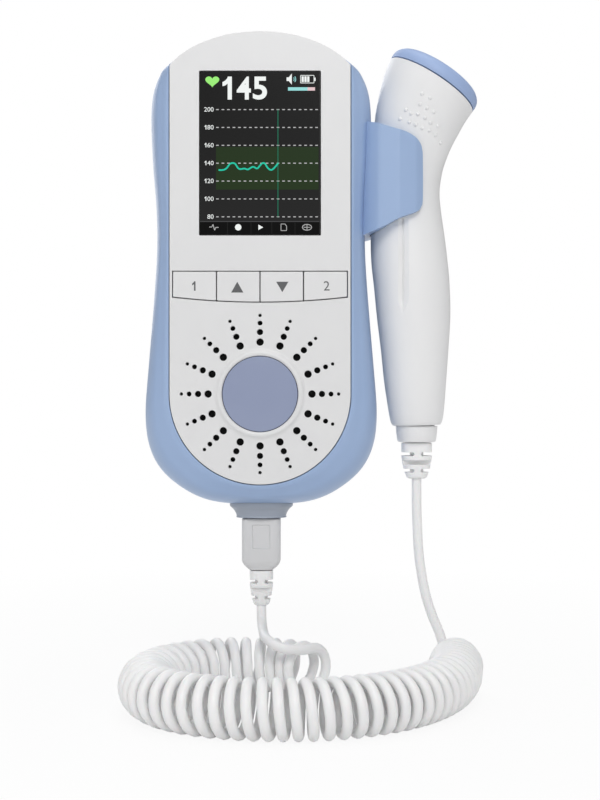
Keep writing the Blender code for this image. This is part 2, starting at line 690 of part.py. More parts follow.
def make_front_cover():
    edge = rim_outline(RIM_Y)
    plate = across([
        (edge, COVER_BACK_Y), (edge, FRONT_Y + COVER_EDGE_BREAK), (offset(edge, -COVER_EDGE_BREAK), FRONT_Y),
    ])
    cover = add("front_cover", plate, FINISH["white_abs"])
    bosses = [
        prism(circle(BOSS_DIAMETER / 2, SCREW_STEPS, place), COVER_BACK_Y - COVER_THICKNESS / 2, COVER_BACK_Y + BOSS_LENGTH)
        for place in post_places()
    ]
    combine(cover, helper("cover_bosses", gather(bosses)), "UNION")
    bites = [
        prism(circle(SCREW_DIAMETER / 2 + GAP, SCREW_STEPS, place), COVER_BACK_Y + BOSS_LENGTH - SCREW_BITE - GAP, OVERRUN)
        for place in post_places()
    ]
    combine(cover, helper("cover_boss_bores", gather(bites)))
    centre = (0.0, LENS_CENTRE_Z)
    seat = rounded(LENS_WIDTH + 2 * GAP, LENS_HEIGHT + 2 * GAP, LENS_CORNER + GAP, centre=centre)
    combine(cover, helper("lens_seat", prism(seat, FRONT_Y - OVERRUN, FRONT_Y + LENS_THICKNESS + GAP)))
    window = rounded(LENS_WIDTH - 2 * LENS_LEDGE, LENS_HEIGHT - 2 * LENS_LEDGE, LENS_CORNER, centre=centre)
    combine(cover, helper("lens_window", prism(window, FRONT_Y - OVERRUN, FRONT_Y + OVERRUN)))
    combine(cover, helper("key_slot", prism(row_outline(GAP), FRONT_Y - OVERRUN, FRONT_Y + OVERRUN)))
    badge_centre = (0.0, COVER_BOTTOM_CENTRE_Z)
    badge = circle(BADGE_RING_DIAMETER / 2 + GAP, BADGE_STEPS, badge_centre)
    combine(cover, helper("badge_seat", prism(badge, FRONT_Y - OVERRUN, FRONT_Y + BADGE_SEAT_DEPTH)))
    holes = []
    for ray in range(RAY_COUNT):
        a = 2 * math.pi * ray / RAY_COUNT
        for radius, size in zip(RAY_RADII, RAY_HOLES):
            place = (radius * math.cos(a), COVER_BOTTOM_CENTRE_Z + radius * math.sin(a))
            holes.append(prism(circle(size / 2, HOLE_SIDES, place), FRONT_Y - OVERRUN, FRONT_Y + OVERRUN))
    combine(cover, helper("grille_holes", gather(holes)))
    return cover


def make_display():
    centre = (0.0, LENS_CENTRE_Z)
    lens = rounded(LENS_WIDTH, LENS_HEIGHT, LENS_CORNER, centre=centre)
    add("display_lens", prism(lens, FRONT_Y, FRONT_Y + LENS_THICKNESS), FINISH["black_acrylic"])
    panel = rounded(PANEL_WIDTH, PANEL_HEIGHT, LENS_CORNER, centre=centre)
    add("display_panel", prism(panel, INNER_Y, INNER_Y + PANEL_THICKNESS), FINISH["glass"])
    margin = 2 * (GAP + FRAME_WALL)
    tray = rounded(PANEL_WIDTH + margin, PANEL_HEIGHT + margin, LENS_CORNER + GAP + FRAME_WALL, centre=centre)
    frame = add("display_frame", prism(tray, INNER_Y, FRAME_BACK_Y), FINISH["grey_abs"])
    inside = rounded(PANEL_WIDTH + 2 * GAP, PANEL_HEIGHT + 2 * GAP, LENS_CORNER + GAP, centre=centre)
    combine(frame, helper("frame_hollow", prism(inside, INNER_Y - OVERRUN, FRAME_BACK_Y - FRAME_FLOOR)))


def make_keys():
    """Four caps that slide straight in. Each has a flange behind the cover, above and below its slot."""
    width = KEY_ROW_WIDTH / KEY_COUNT
    for i, name in enumerate(("key_one", "key_up", "key_down", "key_two")):
        left = -KEY_ROW_WIDTH / 2 + i * width + (GAP / 2 if i else 0.0)
        right = -KEY_ROW_WIDTH / 2 + (i + 1) * width - (GAP / 2 if i < KEY_COUNT - 1 else 0.0)
        face = key_outline(left, right)
        front = FRONT_Y - KEY_PROUD
        slot_back = INNER_Y
        flange = [(x, z + (KEY_FLANGE if z == KEY_TOP_Z else -KEY_FLANGE)) for x, z in face]
        cap = across([
            (offset(face, -KEY_EDGE_BREAK), front), (face, front + KEY_EDGE_BREAK), (face, slot_back),
            (flange, slot_back), (flange, slot_back + KEY_FLANGE_THICKNESS),
        ])
        middle = ((left + right) / 2, front, KEY_TOP_Z - KEY_END_HEIGHT / 2)
        add(name, cap, FINISH["white_abs"], origin=middle)


def make_boards():
    centre = (0.0, (BOARD_TOP_Z + BOARD_BOTTOM_Z) / 2)
    board = rounded(BOARD_WIDTH, BOARD_TOP_Z - BOARD_BOTTOM_Z, BOARD_CORNER, centre=centre)
    add("main_board", prism(board, BOARD_Y, BOARD_BACK_Y), FINISH["circuit_board"])
    height = KEY_END_HEIGHT + KEY_ARC_RISE + MAT_MARGIN
    mat_centre = (0.0, KEY_TOP_Z - (KEY_END_HEIGHT + KEY_ARC_RISE) / 2)
    mat = rounded(BOARD_WIDTH, height, BOARD_CORNER / 2, centre=mat_centre)
    mat_y = BOARD_Y - GAP - MAT_THICKNESS
    pad = add("key_mat", prism(mat, mat_y, mat_y + MAT_THICKNESS), FINISH["silicone"])
    width = KEY_ROW_WIDTH / KEY_COUNT
    dome_rise = INNER_Y + KEY_FLANGE_THICKNESS + KEY_TRAVEL + GAP
    domes = []
    for i in range(KEY_COUNT):
        x = (i - (KEY_COUNT - 1) / 2) * width * BOARD_WIDTH / KEY_ROW_WIDTH
        domes.append(across([
            (circle(MAT_MARGIN, HOLE_SIDES, (x, mat_centre[1])), dome_rise),
            (circle(2 * MAT_MARGIN, HOLE_SIDES, (x, mat_centre[1])), mat_y + GAP),
        ]))
    combine(pad, helper("mat_domes", gather(domes)), "UNION")


def make_speaker():
    """Basket, cone, magnet and dust cloth, all turned about the grille's centre line."""
    front = Matrix.Translation((0.0, INNER_Y, COVER_BOTTOM_CENTRE_Z)) @ Matrix.Rotation(-math.pi / 2, 4, "X")
    outer = SPEAKER_DIAMETER / 2
    throat = SPEAKER_THROAT
    cloth = [(outer - SPEAKER_RIM_WIDTH - GAP, 0.0), (outer - SPEAKER_RIM_WIDTH - GAP, SCREEN_CLOTH)]
    add("speaker_screen", turned(cloth, SPEAKER_STEPS), FINISH["black_cloth"], matrix=front)
    basket = [
        (outer, 0.0), (outer, SPEAKER_RIM), (throat + SPEAKER_WALL, SPEAKER_DEPTH), (MAGNET_BORE / 2, SPEAKER_DEPTH),
        (MAGNET_BORE / 2, SPEAKER_DEPTH - SPEAKER_WALL), (throat, SPEAKER_DEPTH - SPEAKER_WALL),
        (outer - SPEAKER_RIM_WIDTH, SPEAKER_RIM), (outer - SPEAKER_RIM_WIDTH, 0.0),
    ]
    add("speaker_basket", turned(basket, SPEAKER_STEPS, ends=False), FINISH["steel"], matrix=front)
    rise = SCREEN_CLOTH + GAP
    floor = SPEAKER_DEPTH - SPEAKER_WALL - GAP
    edge = outer - SPEAKER_RIM_WIDTH - 2 * GAP
    cone = [
        (edge, rise), (edge, rise + CONE_WALL), (CONE_DOME / 2, floor), (CONE_DOME / 4, floor - CONE_DOME / 8),
        (CONE_DOME / 8, floor - CONE_DOME / 8 - CONE_WALL), (CONE_DOME / 2, floor - 2 * CONE_WALL),
    ]
    add("speaker_cone", turned(cone, SPEAKER_STEPS, ends=False), FINISH["paper"], matrix=front)
    magnet = [
        (MAGNET_DIAMETER / 2, SPEAKER_DEPTH + GAP), (MAGNET_DIAMETER / 2, SPEAKER_DEPTH + MAGNET_THICKNESS),
        (MAGNET_BORE / 2, SPEAKER_DEPTH + MAGNET_THICKNESS), (MAGNET_BORE / 2, SPEAKER_DEPTH + GAP),
    ]
    add("speaker_magnet", turned(magnet, SPEAKER_STEPS, ends=False), FINISH["ferrite"], matrix=front)


def make_badge():
    face = Matrix.Translation((0.0, FRONT_Y, COVER_BOTTOM_CENTRE_Z)) @ Matrix.Rotation(math.pi / 2, 4, "X")
    outer = BADGE_RING_DIAMETER / 2
    inner = BADGE_DISC_DIAMETER / 2 + GAP
    floor = -BADGE_SEAT_DEPTH + GAP
    edge = (outer - inner) / 4
    ring = [
        (outer, floor), (outer, BADGE_RING_PROUD - edge), (outer - edge, BADGE_RING_PROUD),
        (inner + edge, BADGE_RING_PROUD), (inner, BADGE_RING_PROUD - edge), (inner, floor),
    ]
    add("badge_ring", turned(ring, BADGE_STEPS, ends=False), FINISH["white_abs"], matrix=face)
    reach = BADGE_DISC_DIAMETER / 2
    disc = [(reach, floor), (reach, BADGE_DISC_PROUD - edge), (reach - edge, BADGE_DISC_PROUD)]
    add("badge_disc", turned(disc, BADGE_STEPS), FINISH["badge_film"], matrix=face)


# Screws and battery
def make_screw(name, head_diameter, length, place):
    shank = SCREW_DIAMETER / 2
    head = head_diameter / 2
    profile = [(shank, -length), (shank, 0.0), (head, 0.0), (head, SCREW_HEAD_HEIGHT)]
    screw = add(name, turned(profile, SCREW_STEPS), FINISH["steel"], matrix=place)
    reach = SCREW_HEAD_DIAMETER / 2 * CONTACT_WIDTH_SHARE
    half = SCREW_DRIVE_WIDTH / 2
    cross = [
        (reach, -half), (reach, half), (half, half), (half, reach), (-half, reach), (-half, half),
        (-reach, half), (-reach, -half), (-half, -half), (-half, -reach), (half, -reach), (half, -half),
    ]
    low = SCREW_HEAD_HEIGHT - SCREW_DRIVE_DEPTH
    drive = loft([[Vector((x, y, z)) for x, y in cross] for z in (low, SCREW_HEAD_HEIGHT + OVERRUN)])
    combine(screw, helper(name + "_drive", drive, place))


def make_case_screws():
    seat_y = -SCREW_SINK - SCREW_HEAD_HEIGHT
    tip_y = COVER_BACK_Y + BOSS_LENGTH - SCREW_BITE
    for i, (x, z) in enumerate(post_places()):
        place = Matrix.Translation((x, seat_y, z)) @ Matrix.Rotation(-math.pi / 2, 4, "X")
        make_screw(f"case_screw_{i + 1}", SCREW_HEAD_DIAMETER, seat_y - tip_y, place)


def make_battery():
    hinge = pivot("battery_door_hinge", (0.0, 0.0, DOOR_BOTTOM_Z))
    slab = block(
        -DOOR_WIDTH / 2, DOOR_WIDTH / 2, -DOOR_THICKNESS, 0.0, DOOR_BOTTOM_Z, DOOR_BOTTOM_Z + DOOR_HEIGHT,
    )
    door = add("battery_door", slab, FINISH["blue_abs"], origin=hinge.location)
    carry(door, hinge)
    ribs = []
    for i in range(DOOR_RIB_COUNT):
        top = DOOR_BOTTOM_Z + DOOR_HEIGHT - DOOR_TOP_MARGIN - i * DOOR_RIB_PITCH
        reach = DOOR_WIDTH * DOOR_RIB_WIDTH_SHARE / 2
        ribs.append(block(-reach, reach, -DOOR_RIB_DEPTH, OVERRUN, top - DOOR_RIB_PITCH / 2, top))
    combine(door, helper("door_grip", gather(ribs)))

    low = BAY_BOTTOM_Z + GAP
    cell_low = low + CONTACT_THICKNESS + GAP
    cell_high = cell_low + CELL_LENGTH + CELL_NUB_LENGTH
    reach = BAY_WIDTH * CONTACT_WIDTH_SHARE / 2
    for name, z in (("contact_bottom", low), ("contact_top", cell_high + GAP)):
        plate = block(-reach, reach, CELL_Y - CONTACT_HEIGHT / 2, CELL_Y + CONTACT_HEIGHT / 2, z, z + CONTACT_THICKNESS)
        add(name, plate, FINISH["steel"])
    radius = CELL_DIAMETER / 2
    edge = CONTACT_THICKNESS
    nub = CELL_NUB_DIAMETER / 2
    profile = [
        (radius - edge, 0.0), (radius, edge), (radius, CELL_LENGTH - edge), (radius - edge, CELL_LENGTH),
        (nub, CELL_LENGTH), (nub, CELL_LENGTH + CELL_NUB_LENGTH),
    ]
    x = (CELL_DIAMETER + GAP) / 2
    up = Matrix.Translation((-x, CELL_Y, cell_low))
    down = Matrix.Translation((x, CELL_Y, cell_high)) @ Matrix.Rotation(math.pi, 4, "X")
    add("battery_one", turned(profile, CELL_STEPS), FINISH["cell_sleeve"], matrix=up)
    add("battery_two", turned(profile, CELL_STEPS), FINISH["cell_sleeve"], matrix=down)


# Probe and its holder
def probe_place(station):
    """Centre, sideways direction, half width and half depth of one section of the probe."""
    height, sway, width, depth, tilt = station
    lean = PROBE_HEAD_TILT * tilt
    centre = Vector((PROBE_AXIS_X + PROBE_SWAY * sway, MIDDLE_Y, PROBE_FOOT_Z + PROBE_LENGTH * height))
    sideways = Vector((math.cos(lean), 0.0, -math.sin(lean)))
    return centre, sideways, PROBE_HEAD_DIAMETER / 2 * width, PROBE_HEAD_DIAMETER / 2 * depth


def probe_at(z):
    """The probe's section at a height, between the stations."""
    share = (z - PROBE_FOOT_Z) / PROBE_LENGTH
    stations = curve_through(PROBE_STATION_SHARES, PROBE_SPAN_STEPS)
    for low, high in zip(stations, stations[1:]):
        if low[0] <= share <= high[0]:
            t = (share - low[0]) / (high[0] - low[0])
            return probe_place([a + (b - a) * t for a, b in zip(low, high)])
    return probe_place(stations[-1])


def half_ring(station, side):
    """The C-shaped section of one half of the handle."""
    centre, sideways, half_width, half_depth = probe_place(station)
    points = []
    for steps, inset, order in ((PROBE_OUTER_STEPS, 0.0, 1), (PROBE_INNER_STEPS, PROBE_WALL, -1)):
        row = []
        for i in range(steps + 1):
            a = math.pi * i / steps
            y = side * (GAP / 2 + (half_depth - inset) * math.sin(a))
            row.append(centre + sideways * (half_width - inset) * math.cos(a) + Vector((0.0, y, 0.0)))
        points += row[::order]
    return points


def make_handle():
    stations = curve_through(PROBE_STATION_SHARES, PROBE_SPAN_STEPS)
    for name, side in (("handle_front", -1), ("handle_rear", 1)):
        half = add(name, loft([half_ring(station, side) for station in stations]), FINISH["white_abs"])
        if side > 0:
            continue
        rings = []
        for share, width_share in GROOVE_POINT_SHARES:
            z = GROOVE_TOP_Z - GROOVE_LENGTH * share
            centre, _, half_width, half_depth = probe_at(z)
            surface = MIDDLE_Y - half_depth * math.sqrt(1 - (GROOVE_OFFSET / half_width) ** 2)
            left = centre.x - GROOVE_OFFSET - GROOVE_WIDTH / 2 * width_share
            right = centre.x - GROOVE_OFFSET + GROOVE_WIDTH / 2 * width_share
            near = surface - OVERRUN
            far = surface + GROOVE_DEPTH
            rings.append([Vector((x, y, z)) for x, y in ((left, near), (right, near), (right, far), (left, far))])
        combine(half, helper("finger_groove", loft(rings)))


def head_frame():
    """The probe's face as a frame: Z out of the face, X in the plane of the lean."""
    centre = probe_place(PROBE_STATION_SHARES[-1])[0]
    return Matrix.Translation(centre) @ Matrix.Rotation(PROBE_HEAD_TILT, 4, "Y")


def make_probe_face():
    face = head_frame()
    seat = CRYSTAL_DIAMETER / 2 + GAP
    base = CAP_HEIGHT * CAP_PROFILE_SHARES[0][1] + GAP / 2
    profile = [(seat, base + CRYSTAL_THICKNESS + GAP), (seat, base)]
    profile += [(CAP_RADIUS * radius, base + CAP_HEIGHT * height) for radius, height in CAP_PROFILE_SHARES]
    add("probe_cap", turned(profile, CAP_STEPS), FINISH["blue_elastomer"], matrix=face)
    for name, turn in (("crystal_left", math.pi / 2), ("crystal_right", -math.pi / 2)):
        outline = []
        for i in range(CRYSTAL_STEPS + 1):
            a = turn - math.pi / 2 + math.pi * i / CRYSTAL_STEPS
            shift = CRYSTAL_SPLIT / 2
            x = (CRYSTAL_DIAMETER / 2 - shift) * math.cos(a) + shift * math.cos(turn)
            y = (CRYSTAL_DIAMETER / 2 - shift) * math.sin(a) + shift * math.sin(turn)
            outline.append((x, y))
        disc = loft([[Vector((x, y, z)) for x, y in outline] for z in (base, base + CRYSTAL_THICKNESS)])
        add(name, disc, FINISH["ceramic"], matrix=face)
    backing = [(BACKING_DIAMETER / 2, base - GAP), (BACKING_DIAMETER / 2, base - GAP - BACKING_THICKNESS)]
    add("crystal_backing", turned(backing, CAP_STEPS), FINISH["silicone"], matrix=face)
    board = block(
        PROBE_BOARD_X - PROBE_BOARD_WIDTH / 2, PROBE_BOARD_X + PROBE_BOARD_WIDTH / 2,
        MIDDLE_Y - PROBE_BOARD_THICKNESS / 2, MIDDLE_Y + PROBE_BOARD_THICKNESS / 2,
        PROBE_BOARD_BOTTOM_Z, PROBE_BOARD_BOTTOM_Z + PROBE_BOARD_LENGTH,
    )
    add("probe_board", board, FINISH["circuit_board"])


def make_holder():
    """A clip that goes round the handle and is open to the side, with bosses through the case's wall."""
    plan = [
        (max(x, HOLDER_ROOT_X), y)
        for x, y in circle(HOLDER_RADIUS, HOLDER_STEPS, (HOLDER_CENTRE_X, MIDDLE_Y))
    ]
    low = HOLDER_TOP_Z - HOLDER_HEIGHT
    body = upright([(plan, low - OVERRUN), (plan, HOLDER_TOP_Z + OVERRUN)], 0.0, 0.0)
    holder = add("probe_holder", body, FINISH["blue_abs"])
    reach = HOLDER_TIP_X - HOLDER_ROOT_X
    front = [(HOLDER_ROOT_X + reach * x, low + HOLDER_HEIGHT * z) for x, z in HOLDER_OUTLINE_SHARES]
    front += [(HOLDER_ROOT_X - OVERRUN, low), (HOLDER_ROOT_X - OVERRUN, HOLDER_TOP_Z)]
    combine(holder, helper("holder_outline", prism(front, FRONT_Y - OVERRUN, OVERRUN)), "INTERSECT")
    case = offset(case_outline(), GAP)
    combine(holder, helper("case_side", prism(case, FRONT_Y - 2 * OVERRUN, 2 * OVERRUN)))
    rings = []
    for station in curve_through(PROBE_STATION_SHARES, PROBE_SPAN_STEPS):
        centre, sideways, half_width, half_depth = probe_place(station)
        if not low - 2 * OVERRUN < centre.z < HOLDER_TOP_Z + 2 * OVERRUN:
            continue
        ring = []
        for start, slide in ((math.pi / 2, 0.0), (-math.pi / 2, PROBE_PULL)):
            for i in range(PROBE_OUTER_STEPS + 1):
                a = start + math.pi * i / PROBE_OUTER_STEPS
                x = (half_width + HOLDER_PLAY) * math.cos(a)
                y = (half_depth + HOLDER_PLAY) * math.sin(a)
                ring.append(centre + sideways * x + Vector((slide, y, 0.0)))
        rings.append(ring)
    combine(holder, helper("probe_channel", loft(rings)))
    for i, z in enumerate(holder_screw_heights()):
        wall = case_half_width(z)
        turn = Matrix.Rotation(-math.pi / 2, 4, "Y")
        end = wall - CASE_WALL + GAP
        radius = HOLDER_BOSS_DIAMETER / 2
        boss = turned([(radius, 0.0), (radius, wall + 3 * GAP - end)], SCREW_STEPS)
        place = Matrix.Translation((wall + 3 * GAP, MIDDLE_Y, z)) @ turn
        combine(holder, helper(f"holder_boss_{i + 1}", boss, place), "UNION")
        hole = SCREW_DIAMETER / 2 + GAP
        bore = turned([(hole, 0.0), (hole, HOLDER_SCREW_BITE + GAP + OVERRUN)], SCREW_STEPS)
        place = Matrix.Translation((end + HOLDER_SCREW_BITE + GAP, MIDDLE_Y, z)) @ turn
        combine(holder, helper(f"holder_bore_{i + 1}", bore, place))
        seat = wall - CASE_WALL - GAP
        place = Matrix.Translation((seat, MIDDLE_Y, z)) @ turn
        make_screw(f"holder_screw_{i + 1}", HOLDER_SCREW_HEAD_DIAMETER, end + HOLDER_SCREW_BITE - seat, place)


# Tail, plug and socket
def make_relief(name, x, top_z, width, length):
    """A flexible strain relief: two blocks with a groove between them, each notched from both sides."""
    sections = []
    for height, share in RELIEF_PROFILE_SHARES:
        outline = oval(width * share, width * share * RELIEF_DEPTH_SHARE, RELIEF_STEPS)
        sections.append((outline, top_z - length * height))
    relief = add(name, upright(sections, x, MIDDLE_Y), FINISH["white_pvc"])
    notches = []
    half = length * RELIEF_SLOT_HEIGHT_SHARE / 2
    bridge = width * RELIEF_BRIDGE_SHARE / 2
    for share in RELIEF_SLOT_SHARES:
        z = top_z - length * share
        for low, high in ((x - width, x - bridge), (x + bridge, x + width)):
            notches.append(block(low, high, MIDDLE_Y - width, MIDDLE_Y + width, z - half, z + half))
    combine(relief, helper(name + "_notches", gather(notches)))


def make_tail():
    radius = TAIL_DIAMETER / 2
    edge = TAIL_EDGE_BREAK
    profile = [
        (TAIL_SPIGOT_DIAMETER / 2, TAIL_SPIGOT_HEIGHT), (TAIL_SPIGOT_DIAMETER / 2, 0.0), (radius, 0.0),
        (radius, edge - TAIL_HEIGHT), (radius - edge, -TAIL_HEIGHT),
    ]
    place = Matrix.Translation((TAIL_X, MIDDLE_Y, TAIL_TOP_Z))
    add("tail_collar", turned(profile, OVAL_STEPS), FINISH["white_abs"], matrix=place)
    make_relief("probe_relief", TAIL_X, PROBE_RELIEF_TOP_Z, PROBE_RELIEF_WIDTH, PROBE_RELIEF_LENGTH)


def make_socket():
    neck = oval(COLLAR_NECK_WIDTH, COLLAR_NECK_DEPTH)
    sections = [(neck, COLLAR_TOP_Z + COLLAR_NECK_HEIGHT), (neck, COLLAR_TOP_Z)]
    for height, share in COLLAR_WAIST_SHARES:
        width = COLLAR_END_WIDTH + (COLLAR_TOP_WIDTH - COLLAR_END_WIDTH) * share
        depth = COLLAR_END_DEPTH + (COLLAR_TOP_DEPTH - COLLAR_END_DEPTH) * share
        sections.append((oval(width, depth), COLLAR_TOP_Z - COLLAR_HEIGHT * height))
    collar = add("socket_collar", upright(sections, 0.0, MIDDLE_Y), FINISH["grey_abs"])
    bore = rounded(SOCKET_WIDTH + 2 * GAP, SOCKET_DEPTH + 2 * GAP, LENS_CORNER + GAP)
    top = COLLAR_TOP_Z + COLLAR_NECK_HEIGHT + OVERRUN
    combine(collar, helper("collar_bore", upright([(bore, COLLAR_END_Z - OVERRUN), (bore, top)], 0.0, MIDDLE_Y)))
    low = COLLAR_END_Z + SOCKET_SINK
    body = rounded(SOCKET_WIDTH, SOCKET_DEPTH, LENS_CORNER)
    socket = add("usb_socket", upright([(body, low), (body, low + SOCKET_HEIGHT)], 0.0, MIDDLE_Y), FINISH["steel"])
    mouth = rounded(PLUG_SHELL_WIDTH + 2 * GAP, PLUG_SHELL_DEPTH + 2 * GAP, LENS_CORNER)
    pocket = upright([(mouth, low - OVERRUN), (mouth, low + SOCKET_HEIGHT - SOCKET_FLOOR)], 0.0, MIDDLE_Y)
    combine(socket, helper("socket_mouth", pocket))


def make_plug():
    shell_low = PLUG_TOP_Z + GAP
    outline = rounded(PLUG_SHELL_WIDTH, PLUG_SHELL_DEPTH, LENS_CORNER)
    metal = upright([(outline, shell_low), (outline, shell_low + PLUG_SHELL_LENGTH)], 0.0, MIDDLE_Y)
    shell = add("plug_shell", metal, FINISH["steel"])
    inside = rounded(PLUG_SHELL_WIDTH - 2 * PLUG_SHELL_WALL, PLUG_SHELL_DEPTH - 2 * PLUG_SHELL_WALL, PLUG_SHELL_WALL)
    low = shell_low + SOCKET_FLOOR
    hollow = upright([(inside, low), (inside, shell_low + PLUG_SHELL_LENGTH + OVERRUN)], 0.0, MIDDLE_Y)
    combine(shell, helper("plug_shell_mouth", hollow))
    square = oval(PLUG_BODY_WIDTH, PLUG_BODY_DEPTH, power=6)
    small = oval(PLUG_TAPER_WIDTH, PLUG_TAPER_DEPTH, power=4)
    waist = PLUG_TOP_Z - PLUG_BODY_HEIGHT
    edge = oval(PLUG_BODY_WIDTH - 2 * PLUG_SHELL_WALL, PLUG_BODY_DEPTH - 2 * PLUG_SHELL_WALL, power=6)
    sections = [
        (edge, PLUG_TOP_Z), (square, PLUG_TOP_Z - PLUG_SHELL_WALL), (square, waist),
        ([((a + c) / 2, (b + d) / 2) for (a, b), (c, d) in zip(square, small)], waist - PLUG_TAPER_HEIGHT * 0.7),
        (small, PLUG_END_Z),
    ]
    body = add("plug_body", upright(sections, 0.0, MIDDLE_Y), FINISH["white_pvc"])
    panel_z = PLUG_TOP_Z - (PLUG_BODY_HEIGHT + PLUG_TAPER_HEIGHT / 2) / 2
    panel = rounded(PLUG_PANEL_WIDTH, PLUG_PANEL_HEIGHT, LENS_CORNER, centre=(0.0, panel_z))
    face = MIDDLE_Y - PLUG_BODY_DEPTH / 2
    combine(body, helper("plug_panel", prism(panel, face - OVERRUN, face + PLUG_PANEL_DEPTH)))
    make_relief("plug_relief", 0.0, PLUG_RELIEF_TOP_Z, PLUG_RELIEF_WIDTH, PLUG_RELIEF_LENGTH)


# Cord
def add_tube(name, points, sides_step):
    """A round tube along points, with flat ends."""
    data = bpy.data.curves.new(name, "CURVE")
    data.dimensions = "3D"
    data.bevel_depth = CORD_RADIUS
    data.bevel_resolution = sides_step
    data.use_fill_caps = True
    line = data.splines.new("POLY")
    line.points.add(len(points) - 1)
    for target, point in zip(line.points, points):
        target.co = (*point, 1.0)
    data.materials.append(FINISH["white_pvc"])
    made = bpy.data.objects.new(name, data)
    bpy.context.scene.collection.objects.link(made)
    return made


def curl_points():
    """The curly cord's centre line. Its pitch opens in bends, so that the curls don't meet on the inner side."""
    axis = [Vector((x, y, COIL_Z)) for x, y in curve_through(COIL_ROUTE, COIL_AXIS_STEPS)]
    spans = [(b - a).length for a, b in zip(axis, axis[1:])]
    ways = [(b - a).normalized() for a, b in zip(axis, axis[1:])]
    bends = [0.0]
    for before, after, span in zip(ways, ways[1:], spans):
        bends.append(before.angle(after) / span)
    turns = [0.0]
    for i, span in enumerate(spans):
        nearby = bends[max(0, i - COIL_SMOOTHING):i + COIL_SMOOTHING + 1]
        bend = max(bends[i], sum(nearby) / len(nearby))
        pitch = (CORD_DIAMETER + CURL_GAP) / (1 - bend * CURL_RADIUS)
        turns.append(turns[-1] + span / pitch)
    whole = math.floor(turns[-1] - 0.75) + 0.75
    turns = [turn * whole / turns[-1] for turn in turns]
    count = round(whole * CURL_POINTS)
    points = []
    k = 0
    up = Vector((0.0, 0.0, 1.0))
    for step in range(count + 1):
        turn = whole * step / count
        while k < len(spans) - 1 and turns[k + 1] < turn:
            k += 1
        share = (turn - turns[k]) / (turns[k + 1] - turns[k])
        centre = axis[k].lerp(axis[k + 1], share)
        way = ways[k]
        if 0 < k < len(ways) - 1:
            way = (ways[k - 1] + ways[k] + ways[k + 1]).normalized()
        left = min(1.0, max(0.0, (turn - whole + CURL_END_TURNS) / CURL_END_TURNS))
        radius = CURL_RADIUS * (1 - (1 - CURL_END_RADIUS_SHARE) * left * left * (3 - 2 * left))
        a = 2 * math.pi * turn
        points.append(centre + up * radius * math.cos(a) + way.cross(up) * radius * math.sin(a))
    return points, whole


def least_gap(points):
    """The least distance between the tube's surfaces at points over half a curl apart."""
    closest = math.inf
    skip = CURL_POINTS // 2 + 1
    for i, here in enumerate(points):
        for j in range(i + skip, min(i + 3 * CURL_POINTS, len(points) - 1)):
            start = points[j]
            run = points[j + 1] - start
            share = max(0.0, min(1.0, (here - start).dot(run) / run.length_squared))
            closest = min(closest, (start + run * share - here).length)
    return closest - CORD_DIAMETER


def make_cords():
    curls, turns = curl_points()
    start_way = (curls[0] - curls[1]).normalized()
    start_way.z = 0.0
    start_way.normalize()
    end_way = Vector((0.0, 0.0, 1.0))
    start = curls[0] + start_way * CORD_DIAMETER
    end = curls[-1] + end_way * CORD_DIAMETER
    add_tube("curly_cord", [start, *curls, end], 1)
    print(f"curls {turns:.2f}, least gap {least_gap(curls) * 1000:.2f} mm")
    down = Vector((0.0, 0.0, -LEAD_END))
    plug_end = Vector((0.0, MIDDLE_Y, PLUG_RELIEF_END_Z - GAP))
    meet = start + start_way * GAP
    route = curve_through([tuple(plug_end + down), *PLUG_LEAD_ROUTE, tuple(meet + start_way * LEAD_END)], LEAD_STEPS)
    add_tube("plug_lead", [plug_end, *route, meet], 2)
    probe_end = Vector((TAIL_X, MIDDLE_Y, PROBE_RELIEF_END_Z - GAP))
    meet = end + end_way * GAP
    route = curve_through([tuple(probe_end + down), *PROBE_LEAD_ROUTE, tuple(meet + end_way * LEAD_END)], LEAD_STEPS)
    add_tube("probe_lead", [probe_end, *route, meet], 2)


clear_scene()
FINISH = make_finishes()
make_rear_shell()
make_front_cover()
make_display()
make_keys()
make_boards()
make_speaker()
make_badge()
make_battery()
make_case_screws()
make_holder()
make_handle()
make_probe_face()
make_tail()
make_socket()
make_plug()
make_cords()
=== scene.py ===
"""Looks of a fetal doppler monitor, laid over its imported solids: a unit, a probe in its clip and a curly cord."""

import json
import math

import bmesh
import bpy
from mathutils import Matrix, Vector
from mathutils.bvhtree import BVHTree


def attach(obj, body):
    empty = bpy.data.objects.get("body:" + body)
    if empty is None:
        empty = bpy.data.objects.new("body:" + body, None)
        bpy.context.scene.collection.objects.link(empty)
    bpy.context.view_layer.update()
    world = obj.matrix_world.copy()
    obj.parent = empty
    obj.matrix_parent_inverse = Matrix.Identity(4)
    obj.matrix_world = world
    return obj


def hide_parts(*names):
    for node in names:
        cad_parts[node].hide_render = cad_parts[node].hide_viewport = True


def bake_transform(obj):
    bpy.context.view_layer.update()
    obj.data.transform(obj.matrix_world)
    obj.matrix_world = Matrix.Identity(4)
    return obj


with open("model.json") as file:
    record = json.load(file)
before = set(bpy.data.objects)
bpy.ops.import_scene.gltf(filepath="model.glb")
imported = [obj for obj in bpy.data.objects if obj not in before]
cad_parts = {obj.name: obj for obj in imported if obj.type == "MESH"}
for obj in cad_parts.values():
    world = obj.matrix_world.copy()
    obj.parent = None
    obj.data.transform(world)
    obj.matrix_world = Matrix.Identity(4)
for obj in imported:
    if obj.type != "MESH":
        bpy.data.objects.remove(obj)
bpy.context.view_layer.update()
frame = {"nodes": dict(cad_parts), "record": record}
NODES = frame["nodes"]
MM = 0.001
GAP = 0.3 * MM
OVERRUN = 4.0 * MM

